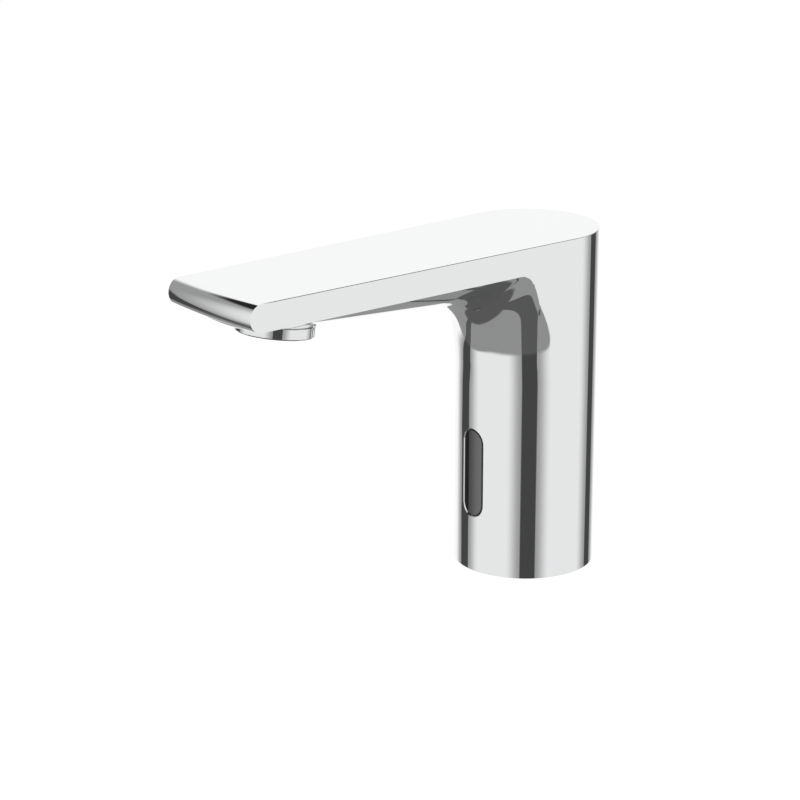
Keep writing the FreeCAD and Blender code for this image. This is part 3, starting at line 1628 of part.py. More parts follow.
pieces = {
    "body_shell": body_shell(),
    "sensor_lens": sensor_lens(),
    "window_gasket": window_gasket(),
    "aerator_collar": aerator_collar(),
    "aerator_insert": aerator_insert(),
    "aerator_screen": aerator_screen(),
    "aerator_washer": aerator_washer(),
    "sensor_case": sensor_case(),
    "sensor_cover": sensor_cover(),
    "sensor_board": sensor_board(),
    "infrared_emitter": sensor_eye("infrared_emitter", eye_levels[1]),
    "infrared_receiver": sensor_eye("infrared_receiver", eye_levels[0]),
    "sensor_screws": sensor_screws(),
    "base_plate": base_plate(),
    "deck_seal": deck_seal(),
    "grub_screw": grub_screw(),
    "leg_screws": leg_screws(),
    "inlet_filter": inlet_filter(),
    "check_cage": check_cage(),
    "check_poppet": check_poppet(),
    "check_spring": check_spring(),
    "valve_body": valve_body(),
    "spigot_ring": spigot_ring(),
    "diaphragm": diaphragm(),
    "diaphragm_plate": diaphragm_plate(),
    "valve_bonnet": valve_bonnet(),
    "plunger": plunger(),
    "plunger_tip": plunger_tip(),
    "plunger_spring": plunger_spring(),
    "fixed_core": fixed_core(),
    "latch_magnet": latch_magnet(),
    "coil_bobbin": coil_bobbin(),
    "coil_winding": coil_winding(),
    "coil_yoke": coil_yoke(),
    "valve_screws": valve_screws(),
    "outlet_tube": outlet_tube(),
    "spout_nipple": spout_nipple(),
    "battery_pack": battery_pack(),
    "battery_holder": battery_holder(),
    "battery_lid": battery_lid(),
    "battery_contacts": battery_contacts(),
    "control_board": control_board(),
    "control_chips": control_chips(),
    "control_screws": control_screws(),
    "sensor_lead": sensor_lead(),
    "coil_leads": coil_leads(),
}
doc.recompute()

# ---------------------------------------------------------------- checks and export
for thing in doc.Objects:
    if "Invalid" in thing.State or "Error" in thing.State:
        raise RuntimeError("%s did not build: %s" % (thing.Name, thing.State))

for node, piece in pieces.items():
    if piece.Shape.isNull() or not piece.Shape.isValid():
        raise RuntimeError("%s has no valid shape" % node)
    piece.Label = node
    piece.Shape.exportStep("parts/%s.step" % node)
    print("%-18s %2d solids %9.1f mm3" % (node, len(piece.Shape.Solids), piece.Shape.Volume))
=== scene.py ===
import json
import math

import bmesh
import bpy
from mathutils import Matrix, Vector


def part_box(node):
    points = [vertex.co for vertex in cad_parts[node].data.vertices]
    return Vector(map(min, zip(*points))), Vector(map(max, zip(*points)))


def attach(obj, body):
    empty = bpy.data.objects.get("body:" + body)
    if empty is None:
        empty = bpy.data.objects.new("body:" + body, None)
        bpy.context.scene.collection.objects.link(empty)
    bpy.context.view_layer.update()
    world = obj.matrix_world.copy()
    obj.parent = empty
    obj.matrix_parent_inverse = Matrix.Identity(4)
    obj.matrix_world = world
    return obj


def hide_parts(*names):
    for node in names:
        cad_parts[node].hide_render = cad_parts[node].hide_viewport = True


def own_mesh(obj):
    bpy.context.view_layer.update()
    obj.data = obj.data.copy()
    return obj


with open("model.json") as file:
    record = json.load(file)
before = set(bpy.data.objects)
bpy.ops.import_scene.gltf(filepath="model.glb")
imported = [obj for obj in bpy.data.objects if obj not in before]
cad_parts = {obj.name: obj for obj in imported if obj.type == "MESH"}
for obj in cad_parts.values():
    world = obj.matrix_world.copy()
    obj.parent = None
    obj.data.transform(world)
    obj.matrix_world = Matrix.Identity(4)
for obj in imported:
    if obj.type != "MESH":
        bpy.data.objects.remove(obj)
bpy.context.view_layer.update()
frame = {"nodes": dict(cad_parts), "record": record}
scene = bpy.context.scene
nodes = frame["nodes"]
print("frame loaded:", len(nodes), "CAD nodes")

mm = 0.001

# camera: one perspective fitted to the photograph
viewpoint = {
    "azimuth": 49.7811,
    "elevation": 17.7006,
    "distance": 919.03 * mm,
    "lens": 116.325,
    "sensor": 36,
    "clip": (0.01, 50),
    "target": (-28.74 * mm, -33.99 * mm, 58.25 * mm),
}


def aimFrom(thing, settings):
    # puts a camera or lamp at its distance from the target, looking back at it
    azimuth = math.radians(settings["azimuth"])
    elevation = math.radians(settings["elevation"])
    back = Vector((
        math.sin(azimuth) * math.cos(elevation),
        -math.cos(azimuth) * math.cos(elevation),
        math.sin(elevation),
    ))
    thing.location = Vector(settings["target"]) + back * settings["distance"]
    thing.rotation_mode = "QUATERNION"
    thing.rotation_quaternion = (-back).to_track_quat("-Z", "Y")


def makeCamera(settings):
    camera = bpy.data.objects.new("camera", bpy.data.cameras.new("camera"))
    scene.collection.objects.link(camera)
    aimFrom(camera, settings)
    camera.data.sensor_width = settings["sensor"]
    camera.data.lens = settings["lens"]
    camera.data.clip_start, camera.data.clip_end = settings["clip"]
    scene.camera = camera


makeCamera(viewpoint)
scene.view_settings.view_transform = "Standard"
print("camera set")


# small helpers for node trees
def newTree(name, inputs, outputs):
    tree = bpy.data.node_groups.new(name, "ShaderNodeTree")
    for label, kind, value in inputs:
        socket = tree.interface.new_socket(label, in_out="INPUT", socket_type=kind)
        socket.default_value = value
    for label, kind in outputs:
        tree.interface.new_socket(label, in_out="OUTPUT", socket_type=kind)
    enter = tree.nodes.new("NodeGroupInput")
    leave = tree.nodes.new("NodeGroupOutput")
    return tree, enter, leave


def put(tree, kind, **settings):
    node = tree.nodes.new(kind)
    for name, value in settings.items():
        setattr(node, name, value)
    return node


def feed(tree, source, node, socket):
    # source is an output socket or a plain value
    target = node.inputs[socket]
    if isinstance(source, bpy.types.NodeSocket):
        tree.links.new(source, target)
    else:
        target.default_value = source


def maths(tree, operation, *sources):
    node = put(tree, "ShaderNodeMath", operation=operation)
    for index, source in enumerate(sources):
        feed(tree, source, node, index)
    return node.outputs[0]


def remap(tree, source, low, high, newLow, newHigh, curve="SMOOTHSTEP"):
    node = put(tree, "ShaderNodeMapRange", interpolation_type=curve)
    for socket, value in zip(("Value", "From Min", "From Max", "To Min", "To Max"),
                             (source, low, high, newLow, newHigh)):
        feed(tree, value, node, socket)
    return node.outputs["Result"]


def mixColour(tree, factor, first, second):
    node = put(tree, "ShaderNodeMix", data_type="RGBA")
    feed(tree, factor, node, 0)
    feed(tree, first, node, 6)
    feed(tree, second, node, 7)
    return node.outputs[2]


def useGroup(tree, group, **values):
    node = put(tree, "ShaderNodeGroup", node_tree=group)
    for name, value in values.items():
        label = "".join(" " + c if c.isupper() else c for c in name).strip()
        label = " ".join(word.capitalize() for word in label.split())
        feed(tree, value, node, label)
    return node


# studio: a shell round the tap, with three tall soft panels, dark gaps, a grey floor and a dark ceiling;
# levels are heights on a shell of radius 1
studio = {
    "front": viewpoint["azimuth"],
    "panels": [
        {"centre": 67.5, "halfWidth": 51.0, "light": 0.85},
        {"centre": -57.0, "halfWidth": 49.0, "light": 0.85},
        {"centre": 185.0, "halfWidth": 48.5, "light": 0.99},
    ],
    "panelEdge": 0.34,
    "gap": 0.06,
    "gapHigh": 0.33,
    "gapFade": (0.0, 0.12),
    "floorLevel": -0.49,
    "floor": 0.29,
    "floorGap": 0.1,
    "floorFade": (0.1, 0.3),
    "footLevel": -0.9,
    "floorSoft": 0.015,
    "ceilingLevel": 0.66,
    "ceilingSoft": 0.03,
    "ceiling": 0.02,
    "around": 0.72,
    "distance": 1.1,
    "middle": 0.06,
    "segments": 96,
}


def softPanelGroup():
    inputs = [
        ("Azimuth", "NodeSocketFloat", 0.0),
        ("Centre", "NodeSocketFloat", 0.0),
        ("Half Width", "NodeSocketFloat", 50.0),
        ("Edge", "NodeSocketFloat", 0.3),
        ("Light", "NodeSocketFloat", 0.85),
    ]
    tree, enter, leave = newTree("softPanel", inputs, [("Light", "NodeSocketFloat")])
    apart = maths(tree, "SUBTRACT", enter.outputs["Azimuth"], enter.outputs["Centre"])
    wrapped = maths(tree, "WRAP", apart, 180.0, -180.0)
    away = maths(tree, "ABSOLUTE", wrapped)
    share = maths(tree, "DIVIDE", away, enter.outputs["Half Width"])
    glow = remap(tree, share, 1.0, 0.5, enter.outputs["Edge"], enter.outputs["Light"])
    inside = remap(tree, share, 1.02, 0.98, 0.0, 1.0, "LINEAR")
    feed(tree, maths(tree, "MULTIPLY", glow, inside), leave, "Light")
    return tree


def glowFromPlace(tree, settings):
    # brightness of the studio's shell: panels, gaps, ceiling and floor
    place = put(tree, "ShaderNodeTexCoord").outputs["Object"]
    turned = put(tree, "ShaderNodeVectorRotate", rotation_type="Z_AXIS")
    feed(tree, place, turned, "Vector")
    turned.inputs["Angle"].default_value = -math.radians(settings["front"] - 90)
    unit = put(tree, "ShaderNodeVectorMath", operation="NORMALIZE")
    feed(tree, turned.outputs["Vector"], unit, 0)
    parts = put(tree, "ShaderNodeSeparateXYZ")
    feed(tree, unit.outputs["Vector"], parts, 0)
    x, y, z = parts.outputs
    azimuth = maths(tree, "DEGREES", maths(tree, "ARCTAN2", y, x))
    panel = softPanelGroup()
    lights = None
    for item in settings["panels"]:
        one = useGroup(tree, panel, azimuth=azimuth, centre=item["centre"], halfWidth=item["halfWidth"],
                       edge=settings["panelEdge"], light=item["light"]).outputs["Light"]
        lights = one if lights is None else maths(tree, "MAXIMUM", lights, one)
    # the gaps are dark only below the horizon
    gapGlow = remap(tree, z, *settings["gapFade"], settings["gap"], settings["gapHigh"])
    walls = maths(tree, "MAXIMUM", lights, gapGlow)
    level, soft = settings["ceilingLevel"], settings["ceilingSoft"]
    below = remap(tree, z, level + soft, level - soft, 0.0, 1.0)
    above = remap(tree, z, level - soft, level + soft, 0.0, settings["ceiling"])
    walls = maths(tree, "ADD", maths(tree, "MULTIPLY", walls, below), above)
    level, foot, soft = settings["floorLevel"], settings["footLevel"], settings["floorSoft"]
    onFloor = remap(tree, z, level + soft, level - soft, 0.0, 1.0)
    floorGlow = remap(tree, lights, *settings["floorFade"], settings["floorGap"], settings["floor"])
    underneath = remap(tree, z, foot - soft, foot + soft, settings["floorGap"], settings["floor"])
    floorGlow = maths(tree, "MINIMUM", floorGlow, underneath)
    seen = put(tree, "ShaderNodeMix", data_type="FLOAT")
    for source, socket in ((onFloor, 0), (walls, 2), (floorGlow, 3)):
        feed(tree, source, seen, socket)
    return seen.outputs[0]


def makeShell(settings):
    # only mirror reflections see the shell, so its panels shift with the place that reflects them
    mesh = bpy.data.meshes.new("studioShell")
    work = bmesh.new()
    bmesh.ops.create_uvsphere(work, u_segments=settings["segments"],
                              v_segments=settings["segments"] // 2, radius=settings["distance"])
    work.to_mesh(mesh)
    work.free()
    shell = bpy.data.objects.new("studioShell", mesh)
    shell.location = (0, 0, settings["middle"])
    scene.collection.objects.link(shell)
    material = bpy.data.materials.new("studioGlow")
    material.use_nodes = True
    tree = material.node_tree
    tree.nodes.clear()
    glow = put(tree, "ShaderNodeEmission")
    feed(tree, glowFromPlace(tree, settings), glow, "Strength")
    feed(tree, glow.outputs[0], put(tree, "ShaderNodeOutputMaterial"), "Surface")
    material.cycles.emission_sampling = "NONE"
    mesh.materials.append(material)
    shell.visible_camera = False
    shell.visible_diffuse = False
    shell.visible_transmission = False
    shell.visible_shadow = False


def makeWorld(settings):
    world = bpy.data.worlds.new("studio")
    scene.world = world
    world.use_nodes = True
    tree = world.node_tree
    tree.nodes.clear()
    rays = put(tree, "ShaderNodeLightPath")
    plain = maths(tree, "MAXIMUM", rays.outputs["Is Camera Ray"], rays.outputs["Is Transmission Ray"])
    plain = maths(tree, "MAXIMUM", plain, rays.outputs["Is Glossy Ray"])
    background = put(tree, "ShaderNodeBackground")
    feed(tree, remap(tree, plain, 0.0, 1.0, settings["around"], 1.0, "LINEAR"), background, "Strength")
    background.inputs["Color"].default_value = (1, 1, 1, 1)
    feed(tree, background.outputs[0], put(tree, "ShaderNodeOutputWorld"), "Surface")


makeShell(studio)
makeWorld(studio)

# lamps: they light only what isn't a mirror
lamps = {
    "key": {"azimuth": 20, "elevation": 50, "distance": 1.2, "target": (0, -0.05, 0.06),
            "size": 0.7, "watts": 6.0},
    "fill": {"azimuth": 120, "elevation": 35, "distance": 1.4, "target": (0, -0.05, 0.06),
             "size": 0.9, "watts": 4.0},
}


def makeLamps(settings):
    for name, item in settings.items():
        light = bpy.data.lights.new(name, "AREA")
        light.shape = "SQUARE"
        light.size = item["size"]
        light.energy = item["watts"]
        lamp = bpy.data.objects.new(name, light)
        scene.collection.objects.link(lamp)
        aimFrom(lamp, item)
        lamp.visible_glossy = False
        lamp.visible_camera = False


makeLamps(lamps)

# floor: white to the camera, with the tap's own soft shadow; metal sees the studio through it
floorSheet = {
    "half": 3.0,
    "level": -0.02 * mm,
    "colour": (0.9, 0.9, 0.9, 1),
    "shadow": 0.25,
    "glow": 1.12,
}


def makeFloor(settings):
    mesh = bpy.data.meshes.new("floor")
    half = settings["half"]
    level = settings["level"]
    corners = [(-half, -half, level), (half, -half, level), (half, half, level), (-half, half, level)]
    mesh.from_pydata(corners, [], [(0, 1, 2, 3)])
    floor = bpy.data.objects.new("floor", mesh)
    scene.collection.objects.link(floor)
    material = bpy.data.materials.new("paleFloor")
    material.use_nodes = True
    tree = material.node_tree
    tree.nodes.clear()
    sheet = put(tree, "ShaderNodeBsdfDiffuse")
    sheet.inputs["Color"].default_value = settings["colour"]
    white = put(tree, "ShaderNodeEmission")
    white.inputs["Color"].default_value = (1, 1, 1, 1)
    white.inputs["Strength"].default_value = settings["glow"]
    rays = put(tree, "ShaderNodeLightPath")
    shown = put(tree, "ShaderNodeMixShader")
    factor = maths(tree, "MULTIPLY", rays.outputs["Is Camera Ray"], 1 - settings["shadow"])
    for source, socket in ((factor, 0), (sheet.outputs[0], 1), (white.outputs[0], 2)):
        feed(tree, source, shown, socket)
    clear = put(tree, "ShaderNodeBsdfTransparent")
    through = maths(tree, "MAXIMUM", rays.outputs["Is Glossy Ray"], rays.outputs["Is Transmission Ray"])
    # the sheet is one-sided, so that the foot shows from below
    through = maths(tree, "MAXIMUM", through, put(tree, "ShaderNodeNewGeometry").outputs["Backfacing"])
    surface = put(tree, "ShaderNodeMixShader")
    for source, socket in ((through, 0), (shown.outputs[0], 1), (clear.outputs[0], 2)):
        feed(tree, source, surface, socket)
    feed(tree, surface.outputs[0], put(tree, "ShaderNodeOutputMaterial"), "Surface")
    mesh.materials.append(material)


makeFloor(floorSheet)
print("studio and floor set")


# effects shared by several finishes
def blemishGroup():
    inputs = [
        ("Scale", "NodeSocketFloat", 400.0),
        ("Low", "NodeSocketFloat", 0.0),
        ("High", "NodeSocketFloat", 1.0),
    ]
    tree, enter, leave = newTree("softBlemish", inputs, [("Value", "NodeSocketFloat")])
    place = put(tree, "ShaderNodeTexCoord").outputs["Object"]
    noise = put(tree, "ShaderNodeTexNoise")
    feed(tree, place, noise, "Vector")
    feed(tree, enter.outputs["Scale"], noise, "Scale")
    noise.inputs["Detail"].default_value = 4
    value = remap(tree, noise.outputs["Fac"], 0.3, 0.7, enter.outputs["Low"], enter.outputs["High"])
    feed(tree, value, leave, "Value")
    return tree


def toolMarkGroup():
    inputs = [
        ("Scale", "NodeSocketFloat", 2000.0),
        ("Stretch", "NodeSocketVector", (0.05, 0.05, 1.0)),
    ]
    tree, enter, leave = newTree("toolMarks", inputs, [("Height", "NodeSocketFloat")])
    place = put(tree, "ShaderNodeTexCoord").outputs["Object"]
    stretched = put(tree, "ShaderNodeVectorMath", operation="MULTIPLY")
    feed(tree, place, stretched, 0)
    feed(tree, enter.outputs["Stretch"], stretched, 1)
    noise = put(tree, "ShaderNodeTexNoise")
    feed(tree, stretched.outputs[0], noise, "Vector")
    feed(tree, enter.outputs["Scale"], noise, "Scale")
    noise.inputs["Detail"].default_value = 2
    feed(tree, noise.outputs["Fac"], leave, "Height")
    return tree


def weaveGroup():
    inputs = [("Pitch", "NodeSocketFloat", 0.4 * mm)]
    tree, enter, leave = newTree("wireWeave", inputs, [("Height", "NodeSocketFloat")])
    place = put(tree, "ShaderNodeTexCoord").outputs["Object"]
    parts = put(tree, "ShaderNodeSeparateXYZ")
    feed(tree, place, parts, 0)
    waves = []
    for axis in (0, 1):
        phase = maths(tree, "DIVIDE", parts.outputs[axis], enter.outputs["Pitch"])
        waves.append(maths(tree, "ABSOLUTE", maths(tree, "SINE", maths(tree, "MULTIPLY", phase, math.pi))))
    feed(tree, maths(tree, "MAXIMUM", *waves), leave, "Height")
    return tree


softBlemish = blemishGroup()
toolMarks = toolMarkGroup()
wireWeave = weaveGroup()


def makeFinish(name, colour, second, metallic, roughness, blemish, **extra):
    material = bpy.data.materials.new(name)
    material.use_nodes = True
    tree = material.node_tree
    shader = tree.nodes["Principled BSDF"]
    shader.inputs["Metallic"].default_value = metallic
    patch = useGroup(tree, softBlemish, scale=blemish, low=0.0, high=1.0).outputs["Value"]
    mixed = mixColour(tree, patch, (*colour, 1), (*second, 1))
    feed(tree, mixed, shader, "Base Color")
    rough = useGroup(tree, softBlemish, scale=blemish * 2.3, low=roughness[0], high=roughness[1])
    feed(tree, rough.outputs["Value"], shader, "Roughness")
    if "marks" in extra:
        scale, stretch, distance = extra["marks"]
        height = useGroup(tree, toolMarks, scale=scale, stretch=stretch).outputs["Height"]
    elif "weave" in extra:
        pitch, distance = extra["weave"]
        height = useGroup(tree, wireWeave, pitch=pitch).outputs["Height"]
    else:
        height = None
    if height is not None:
        bump = put(tree, "ShaderNodeBump")
        bump.inputs["Distance"].default_value = distance
        bump.inputs["Strength"].default_value = 1.0
        feed(tree, height, bump, "Height")
        feed(tree, bump.outputs["Normal"], shader, "Normal")
    for socket, value in extra.get("sockets", {}).items():
        shader.inputs[socket].default_value = value
    return material


# slot: name, two colours that mingle, metallic, range of roughness, scale of the mingling, extras
everywhere = (1, 1, 1)
finishRows = {
    "chrome": ("polishedChrome", (0.92, 0.925, 0.93), (0.915, 0.92, 0.927), 1.0, (0.012, 0.02), 60, {}),
    "collar_chrome": ("collarChrome", (0.9, 0.905, 0.91), (0.89, 0.895, 0.9), 1.0, (0.03, 0.05), 90, {}),
    "dark_lens": ("infraredWindow", (0.006, 0.006, 0.007), (0.008, 0.008, 0.009), 0.0, (0.03, 0.05), 80,
        {"sockets": {"IOR": 2.2, "Coat Weight": 0.3, "Coat Roughness": 0.03}}),
    "brass": ("machinedBrass", (0.62, 0.42, 0.17), (0.55, 0.36, 0.15), 1.0, (0.18, 0.3), 200,
        {"marks": (900.0, (1.0, 1.0, 0.05), 0.02 * mm)}),
    "black_rubber": ("blackRubber", (0.014, 0.014, 0.014), (0.02, 0.02, 0.02), 0.0, (0.55, 0.7), 300,
        {"marks": (2500.0, everywhere, 0.02 * mm)}),
    "red_rubber": ("redSilicone", (0.3, 0.03, 0.02), (0.24, 0.025, 0.02), 0.0, (0.45, 0.6), 300,
        {"marks": (2500.0, everywhere, 0.02 * mm)}),
    "white_plastic": ("whiteAcetal", (0.75, 0.75, 0.72), (0.7, 0.7, 0.67), 0.0, (0.35, 0.5), 250,
        {"marks": (1500.0, everywhere, 0.01 * mm)}),
    "black_plastic": ("glassFilledBlack", (0.018, 0.018, 0.02), (0.03, 0.03, 0.032), 0.0, (0.4, 0.6), 400,
        {"marks": (3000.0, (1, 1, 0.3), 0.03 * mm)}),
    "grey_plastic": ("greyMoulding", (0.16, 0.165, 0.175), (0.13, 0.135, 0.145), 0.0, (0.4, 0.55), 300,
        {"marks": (2200.0, everywhere, 0.02 * mm)}),
    "stainless": ("turnedStainless", (0.58, 0.57, 0.55), (0.52, 0.51, 0.5), 1.0, (0.15, 0.28), 300,
        {"marks": (2500.0, (0.05, 0.05, 1.0), 0.01 * mm)}),
    "screw_steel": ("zincPlate", (0.6, 0.6, 0.62), (0.55, 0.56, 0.6), 1.0, (0.2, 0.35), 500,
        {"marks": (2500.0, (0.2, 0.2, 1.0), 0.01 * mm)}),
    "dark_screw": ("blackenedSteel", (0.03, 0.03, 0.03), (0.05, 0.045, 0.045), 0.8, (0.3, 0.5), 600,
        {"marks": (2500.0, everywhere, 0.01 * mm)}),
    "magnet": ("nickelPlate", (0.55, 0.54, 0.5), (0.5, 0.49, 0.46), 1.0, (0.12, 0.22), 400,
        {"marks": (1800.0, everywhere, 0.005 * mm)}),
    "copper": ("enamelledCopper", (0.5, 0.16, 0.06), (0.4, 0.12, 0.05), 0.9, (0.15, 0.25), 500,
        {"marks": (2600.0, (0.02, 0.02, 1.0), 0.12 * mm)}),
    "circuit": ("solderMask", (0.012, 0.09, 0.035), (0.02, 0.12, 0.045), 0.0, (0.25, 0.4), 700,
        {"marks": (900.0, everywhere, 0.02 * mm)}),
    "chip_black": ("chipMoulding", (0.02, 0.02, 0.02), (0.028, 0.028, 0.028), 0.0, (0.5, 0.65), 900,
        {"marks": (5000.0, everywhere, 0.01 * mm)}),
    "clear_diode": ("clearEpoxy", (0.3, 0.36, 0.55), (0.34, 0.4, 0.58), 0.0, (0.05, 0.1), 300,
        {"sockets": {"Transmission Weight": 0.6}}),
    "dark_diode": ("filterEpoxy", (0.01, 0.01, 0.02), (0.014, 0.014, 0.026), 0.0, (0.05, 0.1), 300,
        {"sockets": {"Coat Weight": 0.3}}),
    "battery_sleeve": ("shrinkSleeve", (0.02, 0.025, 0.035), (0.026, 0.03, 0.042), 0.0, (0.2, 0.32), 150,
        {"marks": (300.0, (1, 1, 0.2), 0.08 * mm)}),
    "mesh": ("wovenSteel", (0.6, 0.6, 0.58), (0.5, 0.5, 0.48), 1.0, (0.25, 0.4), 500,
        {"weave": (0.45 * mm, 0.1 * mm)}),
    "tube": ("flexTube", (0.6, 0.64, 0.7), (0.66, 0.69, 0.74), 0.0, (0.25, 0.4), 200,
        {"marks": (700.0, (1, 0.1, 1), 0.03 * mm)}),
    "contact_metal": ("springStrip", (0.6, 0.58, 0.5), (0.55, 0.53, 0.46), 1.0, (0.15, 0.25), 400,
        {"marks": (2500.0, (1, 0.05, 1), 0.01 * mm)}),
}
finishes = {}
for slot, (*values, extra) in finishRows.items():
    finishes[slot] = makeFinish(*values, **extra)

slotOf = {}
for row in frame["record"]["subparts"]:
    slotOf[row["node"]] = row["material_slot"]
for name, piece in nodes.items():
    piece.data.materials.clear()
    piece.data.materials.append(finishes[slotOf[name]])
print("finishes made:", len(finishes))


def softEdges(mesh, limit=25.0):
    # smooth shading, with edges sharper than the limit kept crisp
    work = bmesh.new()
    work.from_mesh(mesh)
    for face in work.faces:
        face.smooth = True
    for edge in work.edges:
        edge.smooth = len(edge.link_faces) == 2 and edge.calc_face_angle(0) < math.radians(limit)
    work.to_mesh(mesh)
    work.free()


def placePiece(name, mesh, body, slot, *replaced):
    piece = bpy.data.objects.new(name, mesh)
    scene.collection.objects.link(piece)
    mesh.materials.append(finishes[slot])
    weights = piece.modifiers.new("evenNormals", "WEIGHTED_NORMAL")
    weights.keep_sharp = True
    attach(piece, body)
    if replaced:
        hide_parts(*replaced)
    return piece


# the casting's mesh: patches of points that meet along shared edges, welded at the end
casting = {
    "columnRadius": 25.0,
    "height": 122.2,
    "reach": 138.5,
    "tipHalf": 21.8,
    "bow": 1.0,
    "bandLow": 112.8,
    "noseRound": 4.6,
    "edgeRound": 0.32,
    "edgeRunOut": 5.0,
    "flareStart": 68.3,
    "flareRadius": 92.0,
    "flareLag": 4.0,
    "frontTop": 76.0,
    "neckTop": 102.0,
    "cornerEnd": 103.0,
    "throatRadius": 29.5,
    "throatHold": 0.65,
    "softCorner": 20.0,
    "crispCorner": 0.8,
    "bellyRoot": 11.7,
    "bellyTip": 5.35,
    "bellyTipReach": 118.0,
    "bellyEndReach": 133.6,
    "blendMiddle": 24.0,
    "blendSide": 11.5,
    "fairing": {"rounds": 30, "own": 0.4, "around": 0.15, "firstRow": 2, "pastBlend": 5},
    "wall": 2.8,
    "lid": 2.7,
    "window": {"level": 36.4, "width": 9.6, "height": 32.2, "chamfer": 0.35, "margin": 2.3},
    "outlet": {"reach": 111.4, "level": 104.2, "tilt": 8.0, "recess": 13.65, "patch": (94.5, 127.5),
               "profile": [(13.65, 4.35), (12.04, 4.35), (12.04, 9.4), (9.0, 9.4), (9.0, 14.6)]},
}


